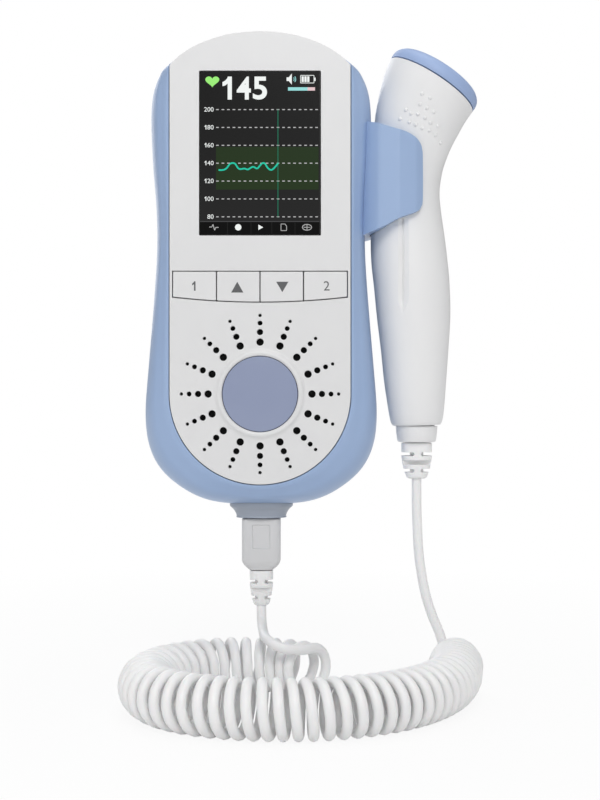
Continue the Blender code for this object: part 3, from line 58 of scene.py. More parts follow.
# Case: the back lies in Y = 0, the front faces -Y, and the unit is centred on X = 0
FRONT_Y = -30.0 * MM
MIDDLE_Y = -15.0 * MM
CASE_WIDTH = 71.6 * MM
CASE_HEIGHT = 143.0 * MM
CASE_WALL = 2.4 * MM
CASE_OUTLINE_SHARES = (
    (0.000, 1.000), (0.332, 0.981), (0.500, 0.955), (0.655, 0.919), (0.758, 0.886), (0.822, 0.864),
    (0.866, 0.842), (0.900, 0.812), (0.925, 0.778), (0.940, 0.740), (0.948, 0.690), (0.949, 0.620),
    (0.932, 0.440), (0.905, 0.290), (0.896, 0.090), (0.938, -0.200), (0.985, -0.475), (1.000, -0.580),
    (0.996, -0.670), (0.972, -0.740), (0.925, -0.802), (0.850, -0.858), (0.735, -0.910), (0.585, -0.957),
    (0.420, -0.986), (0.210, -0.998), (0.000, -1.000),
)
CASE_HOLLOW_SHARES = (
    (0.000, 1.000), (0.335, 0.979), (0.631, 0.912), (0.805, 0.850), (0.883, 0.789), (0.931, 0.728),
    (0.945, 0.630), (0.930, 0.440), (0.905, 0.290), (0.896, 0.090), (0.938, -0.200), (0.985, -0.475),
    (1.000, -0.580), (0.996, -0.670), (0.972, -0.740), (0.925, -0.802), (0.845, -0.860), (0.720, -0.912),
    (0.560, -0.956), (0.380, -0.984), (0.190, -0.997), (0.000, -1.000),
)
COVER_DOME_SHARES = (
    (0.000, 1.000), (0.180, 0.994), (0.332, 0.979), (0.478, 0.954), (0.582, 0.929), (0.658, 0.904),
    (0.721, 0.878),
    (0.759, 0.859),
)
COVER_CORNER_FALL = 0.25
CASE_BACK_INSET = 5.0 * MM
CASE_BACK_ROUND = 8.5 * MM
CASE_RIM_ROUND = 13.6 * MM
CASE_RIM_DROP = 0.4 * MM
RIM_Y = FRONT_Y + CASE_RIM_DROP
FINE_SPAN_STEPS = 6
OUTLINE_PASSES = 6
DOME_SPAN_STEPS = 6
RIM_STEPS = 16
BACK_STEPS = 6
RIM_VALLEY_DEPTH = 0.55 * MM
RIM_VALLEY_SHARE = 0.60
RIM_VALLEY_WIDTH_SHARE = 0.16

# Front cover, with the lens, the key row, the badge and the speaker's holes
COVER_WIDTH = 54.3 * MM
COVER_THICKNESS = 2.4 * MM
COVER_LEDGE = 1.4 * MM
COVER_LEDGE_THICKNESS = 1.8 * MM
COVER_SHOULDER_Z = 60.0 * MM
COVER_BACK_Y = FRONT_Y + COVER_THICKNESS
INNER_Y = COVER_BACK_Y + GAP
GRILLE_Z = -37.4 * MM
LENS_CENTRE_Z = 34.9 * MM
LENS_WIDTH = 36.3 * MM
LENS_HEIGHT = 49.2 * MM
LENS_CORNER = 0.7 * MM
LENS_OPENING_CORNER = 0.35 * MM
KEY_COUNT = 4
KEY_ROW_WIDTH = 52.2 * MM
KEY_TOP_Z = -0.7 * MM
KEY_END_HEIGHT = 7.5 * MM
KEY_ARC_RISE = 1.5 * MM
KEY_ARC_STEPS = 8
KEY_PROUD = 0.2 * MM
KEY_EDGE = 0.25 * MM
KEY_FLANGE = 0.7 * MM
KEY_FLANGE_THICKNESS = 0.8 * MM
KEY_TRAVEL = 0.6 * MM
RAY_COUNT = 16
RAY_RADII = (23.6 * MM, 21.3 * MM, 18.6 * MM, 15.6 * MM)
RAY_HOLES = (1.05 * MM, 1.50 * MM, 1.90 * MM, 2.25 * MM)
HOLE_SIDES = 24
BADGE_RING_DIAMETER = 26.2 * MM
BADGE_DISC_DIAMETER = 22.6 * MM
BADGE_RING_PROUD = 0.7 * MM
BADGE_SKIRT_GAP = 0.01 * MM
BADGE_DISC_PROUD = 0.2 * MM
BADGE_SEAT_DEPTH = 1.2 * MM
COVER_ROUND = 0.16 * MM
POST_PLACES = (
    (-23.6 * MM, 55.0 * MM), (23.6 * MM, 55.0 * MM), (-23.6 * MM, -13.5 * MM), (23.6 * MM, -13.5 * MM)
)
POST_DIAMETER = 6.2 * MM
BOSS_DIAMETER = 3.6 * MM
BOSS_LENGTH = 5.6 * MM
SCREW_BORE = 2.6 * MM
SCREW_HEAD_BORE = 4.8 * MM
SCREW_FLOOR_Y = -4.8 * MM

# Battery bay and its door, in the back
BAY_WIDTH = 29.5 * MM
BAY_BOTTOM_Z = -60.0 * MM
BAY_TOP_Z = -7.5 * MM
BAY_FLOOR_Y = -17.0 * MM
BAY_WALL = 3.4 * MM
BAY_END_WALL = 2.4 * MM
BAY_FLOOR = 1.2 * MM
DOOR_LEDGE = 2.1 * MM
DOOR_THICKNESS = 1.8 * MM
DOOR_RIB_COUNT = 5
DOOR_RIB_PITCH = 2.2 * MM
DOOR_RIB_DEPTH = 0.5 * MM
DOOR_RIB_REACH = 7.5 * MM
DOOR_RIB_TOP_Z = -9.6 * MM

# Probe holder
HOLDER_RADIUS = 14.4 * MM
HOLDER_CENTRE_X = 40.5 * MM
HOLDER_ROOT_X = 30.0 * MM
HOLDER_TIP_X = 49.2 * MM
HOLDER_TOP_Z = 45.8 * MM
HOLDER_HEIGHT = 35.2 * MM
HOLDER_OUTLINE_SHARES = (
    (0.00, 1.000), (0.13, 0.985), (0.27, 0.962), (0.40, 0.937), (0.56, 0.908), (0.74, 0.880),
    (0.88, 0.838), (0.96, 0.790), (0.99, 0.740), (1.00, 0.660), (1.00, 0.320), (0.97, 0.245),
    (0.89, 0.200), (0.60, 0.140), (0.36, 0.070), (0.00, 0.000),
)
HOLDER_STEPS = 120
HOLDER_BAND_ANGLES = (-138.0, -109.2, -84.8, -62.2, -42.0)
HOLDER_FLATNESS = 0.9
HOLDER_ROOT_FALL = 1.3 * MM
HOLDER_SEAM = 0.04 * MM
HOLDER_EDGE = 0.60 * MM
HOLDER_PLAY = 0.4 * MM
HOLDER_BOSS_DIAMETER = 4.2 * MM
HOLDER_SCREW_HEIGHTS = (21.16 * MM, 33.832 * MM)

# Probe: rings along a curved spine, as shares of its height, sway, head diameter and head tilt
PROBE_FOOT_Z = -47.0 * MM
PROBE_LENGTH = 105.4 * MM
PROBE_AXIS_X = 45.0 * MM
PROBE_SWAY = 7.8 * MM
PROBE_HEAD_DIAMETER = 30.2 * MM
PROBE_HEAD_TILT = math.radians(32.5)
PROBE_STATION_SHARES = (
    (0.000, 0.420, 0.485, 0.480, -0.05), (0.012, 0.415, 0.530, 0.525, -0.05),
    (0.050, 0.400, 0.575, 0.570, -0.05),
    (0.133, 0.360, 0.640, 0.630, -0.04), (0.225, 0.340, 0.695, 0.675, -0.04),
    (0.322, 0.300, 0.755, 0.720, -0.08), (0.416, 0.220, 0.777, 0.740, -0.13),
    (0.488, 0.120, 0.780, 0.735, -0.15), (0.560, 0.050, 0.755, 0.712, -0.10),
    (0.625, 0.030, 0.705, 0.690, 0.00), (0.694, 0.045, 0.664, 0.675, 0.12),
    (0.766, 0.100, 0.708, 0.688, 0.37), (0.816, 0.170, 0.775, 0.720, 0.56),
    (0.860, 0.270, 0.840, 0.775, 0.68), (0.908, 0.470, 0.900, 0.860, 0.80),
    (0.962, 0.740, 0.962, 0.950, 0.93), (1.000, 1.000, 1.000, 1.000, 1.00),
)
PROBE_SPAN_STEPS = 5
PROBE_WALL = 1.6 * MM
PROBE_OUTER_STEPS = 26
PROBE_INNER_STEPS = 12
PROBE_PULL = 45.0 * MM
GROOVE_TOP_Z = 16.0 * MM
GROOVE_LENGTH = 28.6 * MM
GROOVE_WIDTH = 3.1 * MM
GROOVE_DEPTH = 1.15 * MM
GROOVE_X = 43.35 * MM
GROOVE_LIP = 0.04 * MM
GROOVE_POINT_SHARES = (
    (0.0, 1.0, 1.0), (0.3, 1.0, 1.0), (0.6, 1.0, 1.0), (0.84, 1.0, 0.9), (0.92, 0.7, 0.45), (1.0, 0.08, 0.1),
)
GROOVE_SECTION_SHARES = (
    (-1.0, 0.0), (-0.60, 0.30), (-0.22, 0.55), (-0.11, 1.0), (0.11, 1.0), (0.20, 0.50), (0.55, 0.30),
    (1.0, 0.0),
)
CAP_PROFILE_SHARES = (
    (1.00, 0.03), (1.005, 0.25), (0.985, 0.47), (0.93, 0.66), (0.84, 0.81), (0.66, 0.92), (0.36, 0.985),
    (0.10, 1.00),
)
CAP_HEIGHT = 5.6 * MM
CAP_STEPS = 72
CRYSTAL_SEAT = 11.8 * MM
CRYSTAL_THICKNESS = 1.0 * MM
DOT_DIAMETER = 1.20 * MM
DOT_RISE_SHARE = 0.85

# Photograph: one of its pixels on the front's plane, and the pixel that faces the origin
PIXEL = 0.3 * MM
ORIGIN_PIXEL = (260.0, 269.333)
GRIP_DOT_PIXELS = (
    (422, 93.6), (430, 97.8), (420, 104), (427, 108), (433.6, 112), (418, 114), (406, 110), (411, 113.5),
    (425, 118),
    (430.5, 122.7), (438, 126), (415.6, 124.6), (421.7, 128), (429.4, 130.4), (400, 119), (409.5, 122),
    (435.5, 135), (440.5, 142.6),
)

# Screen: how far each layer of its image stands in front of the next, and the image's places in pixels
IMAGE_LEVEL = 0.012 * MM
FIGURE_MARGIN_SHARE = 0.06
FIGURE_WEIGHT = 0.022
ONE_SHARES = (
    (0.52, 0.0), (0.76, 0.0), (0.76, 1.0), (0.50, 1.0), (0.50, 0.30), (0.36, 0.38), (0.18, 0.42),
    (0.18, 0.24),
    (0.34, 0.18), (0.46, 0.09),
)
SCALE_TOP_PIXEL = 109.6
SCALE_PITCH_PIXELS = 17.87
DIVIDER_PIXELS = (227.5, 251.0, 271.8, 295.0)
TRACE_PIXELS = (
    (440, 840), (465, 840), (485, 830), (505, 805), (530, 803), (548, 828), (562, 835), (585, 832),
    (605, 837),
    (632, 822), (655, 832), (668, 820), (685, 802), (700, 805), (715, 828), (735, 840), (755, 825),
    (775, 800),
)

# Tail of the probe, plug and socket
TAIL_X = 48.276 * MM
TAIL_TOP_Z = -47.3 * MM
TAIL_DIAMETER = 13.1 * MM
TAIL_HEIGHT = 4.9 * MM
TAIL_SPIGOT_DIAMETER = 11.2 * MM
TAIL_SPIGOT_HEIGHT = 4.0 * MM
TAIL_EDGE_SHARES = ((0.99, 0.0), (0.965, 0.45), (0.93, 0.80), (0.905, 0.94), (0.86, 1.0))
PROBE_RELIEF_TOP_Z = -52.5 * MM
PROBE_RELIEF_WIDTH = 9.5 * MM
PROBE_RELIEF_LENGTH = 11.1 * MM
COLLAR_TOP_Z = -71.8 * MM
COLLAR_TOP_WIDTH = 19.6 * MM
COLLAR_TOP_DEPTH = 15.0 * MM
COLLAR_END_WIDTH = 15.3 * MM
COLLAR_END_DEPTH = 11.0 * MM
COLLAR_HEIGHT = 3.7 * MM
COLLAR_WAIST_SHARES = ((0.00, 1.00), (0.10, 0.90), (0.35, 0.45), (0.65, 0.14), (0.90, 0.02), (1.00, 0.08))
COLLAR_NECK_WIDTH = 14.0 * MM
COLLAR_NECK_DEPTH = 9.0 * MM
COLLAR_NECK_HEIGHT = 4.2 * MM
COLLAR_FIT_HEIGHT = 2.0 * MM
SOCKET_WIDTH = 9.1 * MM
SOCKET_DEPTH = 5.0 * MM
PLUG_TOP_Z = -75.8 * MM
PLUG_BODY_WIDTH = 12.0 * MM
PLUG_BODY_DEPTH = 8.2 * MM
PLUG_BODY_HEIGHT = 12.9 * MM
PLUG_TAPER_HEIGHT = 3.1 * MM
PLUG_TAPER_WIDTH = 7.5 * MM
PLUG_TAPER_DEPTH = 6.2 * MM
PLUG_EDGE = 0.5 * MM
PLUG_PANEL_WIDTH = 5.7 * MM
PLUG_PANEL_HEIGHT = 7.6 * MM
PLUG_PANEL_FALL = 5.6 * MM
PLUG_PANEL_DEPTH = 0.35 * MM
PLUG_RELIEF_TOP_Z = -92.1 * MM
PLUG_RELIEF_WIDTH = 7.3 * MM
PLUG_RELIEF_LENGTH = 10.8 * MM
OVAL_STEPS = 64
RELIEF_DEPTH_SHARE = 0.86
RELIEF_PROFILE_SHARES = (
    (0.00, 0.97), (0.03, 1.00), (0.40, 0.99), (0.55, 0.94), (0.72, 0.86), (0.88, 0.74), (0.96, 0.66),
    (1.00, 0.52),
)
RELIEF_SLOT_SHARES = (0.31, 0.77)
RELIEF_FRONT_SLOT_SHARE = 0.54
RELIEF_SLOT_HEIGHT_SHARE = 0.10
RELIEF_FRONT_SLOT_SCALE = 1.25
RELIEF_BRIDGE = 2.0 * MM
RELIEF_CORE = 1.6 * MM
RELIEF_EYE = 1.30 * MM
RELIEF_EYE_X = 1.65 * MM
RELIEF_EYE_DEPTH = 2.7 * MM
RELIEF_EDGE = 0.12 * MM

# Cord: the same route as the solids have, with rounder turns
CORD_DIAMETER = 3.0 * MM
CURL_RADIUS = 6.9 * MM
CURL_PITCH = 3.3 * MM
CURL_POINTS = 24
COIL_Z = -120.8 * MM
FLOOR_Z = -129.15 * MM
COIL_ROUTE = (
    (15.8, -28.2), (10.0, -22.8), (2.0, -19.4), (-8.0, -18.8), (-18.0, -21.6), (-26.6, -29.0), (-31.4, -40.0),
    (-31.2, -52.0), (-26.2, -63.5), (-17.0, -72.0), (-5.5, -76.8), (7.0, -78.5), (19.0, -77.5), (30.0, -73.5),
    (40.0, -66.8), (48.0, -58.0), (53.6, -48.0), (57.0, -37.8), (58.6, -28.5), (59.7, -21.5), (61.0, -15.5),
)
COIL_AXIS_STEPS = 16
COIL_SMOOTHING = 24
CURL_END_RADIUS_SHARE = 0.62
CURL_END_TURNS = 0.9
PLUG_RELIEF_END = (0.0, -15.0, -102.9)
PROBE_RELIEF_END = (48.276, -15.0, -63.6)
PLUG_LEAD_ROUTE = (
    (0.1, -15.9, -107.2), (0.4, -18.2, -109.2), (0.8, -22.0, -110.2), (1.1, -26.3, -110.3),
    (2.2, -30.7, -110.9), (4.6, -33.6, -112.0), (7.9, -34.3, -113.1),
)
PROBE_LEAD_ROUTE = (
    (48.3, -15.0, -72.0), (48.5, -15.0, -78.0), (48.9, -15.0, -86.0), (49.8, -14.8, -93.0),
    (51.2, -14.6, -100.0), (53.2, -14.4, -106.3), (55.4, -14.4, -111.6),
)
LEAD_STEPS = 8
LEAD_END = 1.4 * MM


def linear(code):
    """An sRGB hex colour as linear red, green, blue and alpha."""
    parts = [int(code[i:i + 2], 16) / 255 for i in (1, 3, 5)]
    return tuple(c / 12.92 if c <= 0.04045 else ((c + 0.055) / 1.055) ** 2.4 for c in parts) + (1.0,)


def step(tree, kind, sockets=None, **settings):
    """Adds a node. A socket given for a socket is linked to it, and any other value is set on it."""
    made = tree.nodes.new(kind)
    for name, value in settings.items():
        setattr(made, name, value)
    for name, value in (sockets or {}).items():
        if isinstance(value, bpy.types.NodeSocket):
            tree.links.new(value, made.inputs[name])
        else:
            made.inputs[name].default_value = value
    return made


def curve_through(rows, steps):
    """Rows of numbers made denser by a smooth curve that passes through each of them."""
    found = []
    for i in range(len(rows) - 1):
        a = rows[max(i - 1, 0)]
        b = rows[i]
        c = rows[i + 1]
        d = rows[min(i + 2, len(rows) - 1)]
        for k in range(steps):
            t = k / steps
            found.append(tuple(
                0.5 * (
                    2 * q + (r - p) * t + (2 * p - 5 * q + 4 * r - s) * t * t + (3 * q - p - 3 * r + s) * t ** 3
                )
                for p, q, r, s in zip(a, b, c, d)
            ))
    found.append(tuple(rows[-1]))
    return found


# Mesh tools
def loft(rings, ends=True):
    """A mesh through rings of equal count. Without ends, its last ring meets its first."""
    mesh = bmesh.new()
    rows = [[mesh.verts.new(point) for point in ring] for ring in rings]
    pairs = list(zip(rows, rows[1:]))
    if not ends:
        pairs.append((rows[-1], rows[0]))
    for low, high in pairs:
        for i in range(len(low)):
            j = (i + 1) % len(low)
            mesh.faces.new((low[i], low[j], high[j], high[i]))
    if ends:
        mesh.faces.new(rows[0])
        mesh.faces.new(rows[-1])
    bmesh.ops.recalc_face_normals(mesh, faces=mesh.faces)
    return mesh


def turned(profile, steps, ends=True):
    """A mesh turned about Z from (radius, height) pairs. Without ends, the profile is a closed loop."""
    rings = []
    for radius, height in profile:
        rings.append([
            Vector((radius * math.cos(a), radius * math.sin(a), height))
            for a in (2 * math.pi * i / steps for i in range(steps))
        ])
    return loft(rings, ends)


def prism(outline, low, high):
    """A mesh of an (x, z) outline run along Y."""
    return loft([[Vector((x, y, z)) for x, z in outline] for y in (low, high)])


def block(x_low, x_high, y_low, y_high, z_low, z_high):
    return prism([(x_low, z_low), (x_high, z_low), (x_high, z_high), (x_low, z_high)], y_low, y_high)


def circle(radius, steps, centre=(0.0, 0.0)):
    return [
        (centre[0] + radius * math.cos(a), centre[1] + radius * math.sin(a))
        for a in (2 * math.pi * i / steps for i in range(steps))
    ]


def rounded(width, height, corner, steps=6, centre=(0.0, 0.0)):
    """The outline of a rectangle with round corners."""
    points = []
    for k, (sx, sz) in enumerate(((1, 1), (-1, 1), (-1, -1), (1, -1))):
        cx = centre[0] + sx * (width / 2 - corner)
        cz = centre[1] + sz * (height / 2 - corner)
        for i in range(steps + 1):
            a = math.pi / 2 * (k + i / steps)
            points.append((cx + corner * math.cos(a), cz + corner * math.sin(a)))
    return points


def oval(width, depth, power=2.6):
    """A squarish oval, as (x, y) pairs."""
    points = []
    for i in range(OVAL_STEPS):
        a = 2 * math.pi * i / OVAL_STEPS
        c = math.cos(a)
        s = math.sin(a)
        reach = (abs(c) ** power + abs(s) ** power) ** (-1 / power)
        points.append((width / 2 * reach * c, depth / 2 * reach * s))
    return points


def upright(sections, centre_x, centre_y):
    """A loft of (outline, z) sections about a vertical line."""
    return loft([[Vector((centre_x + x, centre_y + y, z)) for x, y in outline] for outline, z in sections])


def across(sections):
    """A loft of (outline, y) sections along Y."""
    return loft([[Vector((x, y, z)) for x, z in outline] for outline, y in sections])


def offset(outline, distance):
    """An outline moved outwards by a distance, or inwards by a negative one."""
    count = len(outline)
    area = sum(
        outline[i][0] * outline[(i + 1) % count][1] - outline[(i + 1) % count][0] * outline[i][1]
        for i in range(count)
    )
    side = 1 if area > 0 else -1
    moved = []
    for i, (x, z) in enumerate(outline):
        here = Vector((x, z))
        first = (here - Vector(outline[i - 1])).normalized()
        second = (Vector(outline[(i + 1) % count]) - here).normalized()
        normal = Vector((first.y + second.y, -first.x - second.x)).normalized()
        miter = max(normal.dot(Vector((first.y, -first.x))), 0.5)
        moved.append((x + side * normal.x * distance / miter, z + side * normal.y * distance / miter))
    return moved


def gather(parts):
    """One mesh from several that don't touch."""
    whole = bmesh.new()
    for part in parts:
        data = bpy.data.meshes.new("part")
        part.to_mesh(data)
        part.free()
        whole.from_mesh(data)
        bpy.data.meshes.remove(data)
    return whole


def loose(name, mesh):
    """A working object from a bmesh or a mesh."""
    data = mesh
    if isinstance(mesh, bmesh.types.BMesh):
        data = bpy.data.meshes.new(name)
        mesh.to_mesh(data)
        mesh.free()
    made = bpy.data.objects.new(name, data)
    bpy.context.scene.collection.objects.link(made)
    return made


def applied(obj):
    """The object's mesh with its modifiers applied, as a new mesh. The object itself goes."""
    bpy.context.view_layer.update()
    mesh = bpy.data.meshes.new_from_object(obj.evaluated_get(bpy.context.evaluated_depsgraph_get()))
    bpy.data.objects.remove(obj, do_unlink=True)
    return mesh


def carved(base, *changes):
    """A mesh after its cuts and joins, each given as (bmesh, operation)."""
    piece = loose("carved", base)
    others = []
    for mesh, operation in changes:
        other = loose("cutter", mesh)
        change = piece.modifiers.new("change", "BOOLEAN")
        change.operation = operation
        change.object = other
        others.append(other)
    result = applied(piece)
    for other in others:
        bpy.data.objects.remove(other, do_unlink=True)
    return result


def show(name, mesh, finish, smooth=35.0, edge=0.0, segments=2):
    """A shown object at the origin. Its edges may be rounded by a bevel of the width given."""
    made = loose(name, mesh)
    data = made.data
    data.name = name
    data.materials.clear()
    data.materials.append(finish)
    data.shade_smooth()
    if edge:
        bevel = made.modifiers.new("round_edges", "BEVEL")
        bevel.width = edge
        bevel.segments = segments
        bevel.limit_method = "ANGLE"
        bevel.angle_limit = math.radians(smooth)
        level = made.modifiers.new("level_faces", "WEIGHTED_NORMAL")
        level.keep_sharp = True
    else:
        data.set_sharp_from_angle(angle=math.radians(smooth))
    return made


def settle(piece, body, slot, *nodes):
    """Puts a finished piece on its body and hides the solids that it stands for. Its material slot is not used."""
    if nodes:
        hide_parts(*nodes)
    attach(piece, body)
    return piece


def node_inputs(tree, inputs):
    """Adds named inputs to a Geometry Nodes tree, with a geometry input and output."""
    tree.interface.new_socket("Geometry", in_out="INPUT", socket_type="NodeSocketGeometry")
    tree.interface.new_socket("Geometry", in_out="OUTPUT", socket_type="NodeSocketGeometry")
    for name, kind in inputs:
        tree.interface.new_socket(name, in_out="INPUT", socket_type=kind)


def grown(name, base, tree, values):
    """The mesh that a Geometry Nodes tree makes from a base mesh, with its named inputs set."""
    made = loose(name, base)
    change = made.modifiers.new(name, "NODES")
    change.node_group = tree
    for item in tree.interface.items_tree:
        if item.item_type == "SOCKET" and item.in_out == "INPUT" and item.name in values:
            change[item.identifier] = values[item.name]
    return applied(made)


# Materials
PIXEL_PITCH = 0.153 * MM


def plastic(name, tone, deep, roughness, grain, depth, coat=0.0, subsurface=0.0):
    """Moulded plastic: its colour drifts a little, and its fine grain breaks the shine."""
    made = bpy.data.materials.new(name)
    made.use_nodes = True
    tree = made.node_tree
    shader = tree.nodes["Principled BSDF"]
    place = step(tree, "ShaderNodeTexCoord").outputs["Object"]
    drift = step(tree, "ShaderNodeTexNoise", {"Vector": place, "Scale": 1 / (16 * MM), "Detail": 2.0})
    fine = step(
        tree, "ShaderNodeTexNoise", {"Vector": place, "Scale": 1 / grain, "Detail": 3.0, "Roughness": 0.6}
    )
    mix = step(tree, "ShaderNodeMix", {
        "Factor": drift.outputs["Fac"], "A": linear(deep), "B": linear(tone),
    }, data_type="RGBA")
    for pair in (("A", deep), ("B", tone)):
        for socket in mix.inputs:
            if socket.name == pair[0] and socket.type == "RGBA":
                socket.default_value = linear(pair[1])
    tree.links.new(next(o for o in mix.outputs if o.type == "RGBA"), shader.inputs["Base Color"])
    rough = step(tree, "ShaderNodeMapRange", {
        "Value": fine.outputs["Fac"], "To Min": roughness - 0.05, "To Max": roughness + 0.06,
    })
    bump = step(tree, "ShaderNodeBump", {"Height": fine.outputs["Fac"], "Strength": 0.5, "Distance": depth})
    tree.links.new(rough.outputs["Result"], shader.inputs["Roughness"])
    tree.links.new(bump.outputs["Normal"], shader.inputs["Normal"])
    shader.inputs["IOR"].default_value = 1.5
    shader.inputs["Coat Weight"].default_value = coat
    shader.inputs["Coat Roughness"].default_value = 0.15
    shader.inputs["Subsurface Weight"].default_value = subsurface
    shader.inputs["Subsurface Scale"].default_value = 1 * MM
    return made


def metal(name, tone, roughness, brush):
    """Plated sheet steel with fine drawn lines, whose spacing is in metres."""
    made = bpy.data.materials.new(name)
    made.use_nodes = True
    tree = made.node_tree
    shader = tree.nodes["Principled BSDF"]
    place = step(tree, "ShaderNodeTexCoord").outputs["Object"]
    drawn = step(tree, "ShaderNodeMapping", {"Vector": place, "Scale": (1.0, 1.0, 0.05)})
    lines = step(
        tree, "ShaderNodeTexNoise", {"Vector": drawn.outputs["Vector"], "Scale": 1 / brush, "Detail": 3.0}
    )
    rough = step(tree, "ShaderNodeMapRange", {
        "Value": lines.outputs["Fac"], "To Min": roughness - 0.06, "To Max": roughness + 0.08,
    })
    bump = step(
        tree, "ShaderNodeBump", {"Height": lines.outputs["Fac"], "Strength": 0.3, "Distance": 0.01 * MM}
    )
    tree.links.new(rough.outputs["Result"], shader.inputs["Roughness"])
    tree.links.new(bump.outputs["Normal"], shader.inputs["Normal"])
    shader.inputs["Base Color"].default_value = linear(tone)
    shader.inputs["Metallic"].default_value = 1.0
    return made


def pixels(name, top, bottom):
    """A display's own light, in rows of pixels 0.15 mm apart. The colour may drift from top to bottom."""
    made = bpy.data.materials.new(name)
    made.use_nodes = True
    tree = made.node_tree
    shader = tree.nodes["Principled BSDF"]
    place = step(tree, "ShaderNodeTexCoord").outputs["Object"]
    turn = step(tree, "ShaderNodeMapping", {"Vector": place, "Rotation": (-math.pi / 2, 0.0, 0.0)})
    low = LENS_CENTRE_Z - LENS_HEIGHT / 2
    split = step(tree, "ShaderNodeSeparateXYZ", {"Vector": place})
    fall = step(tree, "ShaderNodeMapRange", {
        "Value": split.outputs["Z"], "From Min": low, "From Max": low + LENS_HEIGHT,
    })
    shade = step(tree, "ShaderNodeValToRGB", {"Fac": fall.outputs["Result"]})
    shade.color_ramp.elements[0].color = linear(bottom)
    shade.color_ramp.elements[1].color = linear(top)
    grid = step(tree, "ShaderNodeTexBrick", {
        "Vector": turn.outputs["Vector"], "Scale": 1 / PIXEL_PITCH, "Mortar Size": 0.06, "Brick Width": 1.0,
        "Row Height": 1.0, "Color1": (1.0, 1.0, 1.0, 1.0), "Color2": (1.0, 1.0, 1.0, 1.0),
        "Mortar": (0.88, 0.88, 0.88, 1.0),
    }, offset=0.0)
    glow = step(
        tree, "ShaderNodeVectorMath", {0: shade.outputs["Color"], 1: grid.outputs["Color"]},
        operation="MULTIPLY"
    )
    tree.links.new(glow.outputs["Vector"], shader.inputs["Emission Color"])
    shader.inputs["Base Color"].default_value = (0.0, 0.0, 0.0, 1.0)
    shader.inputs["Roughness"].default_value = 0.25
    shader.inputs["Specular IOR Level"].default_value = 0.15
    shader.inputs["Emission Strength"].default_value = 1.0
    return made


FINISH = {
    # Satin ABS of the front: a soft shine over a very fine spark-eroded texture. The white ABS comes in two copies
    # that stand in for light: the handle's is lighter, painted light, and the front's is darker, painted shade
    "white_abs": plastic("satin_white_abs", "#EFEFEF", "#EBEBEC", 0.38, 0.35 * MM, 0.004 * MM, coat=0.1),
    # Darker copy of the satin white ABS, for the front cover, badge lip and keys: painted shade
    "shaded_front_abs": plastic("satin_white_abs_painted_shade", "#E4E4E4", "#E0E0E1", 0.38, 0.35 * MM, 0.004 * MM, coat=0.1),
    "blue_abs": plastic("satin_pale_blue_abs", "#9FB6D9", "#9AB2D6", 0.40, 0.35 * MM, 0.004 * MM, coat=0.1),
    "blue_elastomer": plastic("soft_blue_elastomer", "#9FB5DC", "#9AB0D8", 0.50, 0.30 * MM, 0.006 * MM),
    "grey_abs": plastic("satin_grey_blue_abs", "#A3ABB8", "#9DA5B2", 0.42, 0.35 * MM, 0.004 * MM),
    "black_acrylic": plastic(
        "polished_black_acrylic", "#0B0B0C", "#0A0A0B", 0.12, 0.8 * MM, 0.0005 * MM, coat=0.6
    ),
    "badge_film": plastic(
        "satin_violet_blue_film", "#929CB8", "#8D97B4", 0.34, 0.25 * MM, 0.003 * MM, coat=0.3
    ),
    "white_pvc": plastic(
        "soft_white_pvc", "#F6F6F6", "#F2F2F2", 0.36, 0.45 * MM, 0.006 * MM, subsurface=0.05
    ),
    # The plug's body: a greyer copy of the cord's white PVC, painted shade for the shadow that the collar casts on
    # it
    "shaded_plug_pvc": plastic("white_pvc_painted_shade", "#DADADB", "#D4D4D5", 0.42, 0.45 * MM, 0.006 * MM),
    "silicone": plastic("grey_silicone", "#9A9CA0", "#94969B", 0.55, 0.40 * MM, 0.008 * MM),
    "circuit_board": plastic(
        "green_solder_mask", "#1F6B3A", "#1A6034", 0.35, 0.60 * MM, 0.010 * MM, coat=0.2
    ),
    "black_cloth": plastic("black_woven_cloth", "#141414", "#0C0C0C", 0.90, 0.25 * MM, 0.060 * MM),
    "paper": plastic("pressed_black_paper", "#2A2A2A", "#222222", 0.85, 0.50 * MM, 0.040 * MM),
    "ceramic": plastic("fired_ceramic", "#CFC6B6", "#C6BCAB", 0.40, 0.20 * MM, 0.008 * MM),
    "glass": plastic("dark_display_glass", "#1B1E20", "#181A1C", 0.10, 0.80 * MM, 0.0005 * MM, coat=0.5),
    "ferrite": plastic("sintered_ferrite", "#303033", "#28282B", 0.60, 0.30 * MM, 0.020 * MM),
    "cell_sleeve": plastic(
        "shrink_wrapped_sleeve", "#2C4A78", "#274370", 0.30, 0.80 * MM, 0.004 * MM, coat=0.4
    ),
    # The speaker basket's steel made near black: painted shade, so that the grille's outer holes read dark
    "shade_black_basket": plastic("basket_steel_painted_shade", "#161617", "#101011", 0.45, 0.30 * MM, 0.006 * MM),
    "steel": metal("plated_steel", "#C4C5C8", 0.28, 0.15 * MM),
    "key_ink": plastic("grey_printing_ink", "#5E5E60", "#58585A", 0.50, 0.20 * MM, 0.003 * MM),
    "dark_pixels": pixels("unlit_display", "#111111", "#252525"),
    "black_pixels": pixels("black_display_bar", "#020202", "#020202"),
    "white_pixels": pixels("white_display_pixels", "#F4F8F6", "#F4F8F6"),
    "grey_pixels": pixels("grey_display_pixels", "#C4C4C4", "#BCBCBC"),
    "green_pixels": pixels("green_display_pixels", "#9CF07A", "#9CF07A"),
    "band_pixels": pixels("green_display_band", "#1F301A", "#26361C"),
    "teal_pixels": pixels("teal_display_pixels", "#22C9A8", "#22C9A8"),
    "aqua_pixels": pixels("aqua_display_pixels", "#9ADFDD", "#9ADFDD"),
    "rose_pixels": pixels("rose_display_pixels", "#E6C8CC", "#E6C8CC"),
    "cursor_pixels": pixels("green_display_cursor", "#1E7D60", "#1E7D60"),
    "faint_pixels": pixels("faint_display_line", "#4C4C4E", "#4C4C4E"),
}


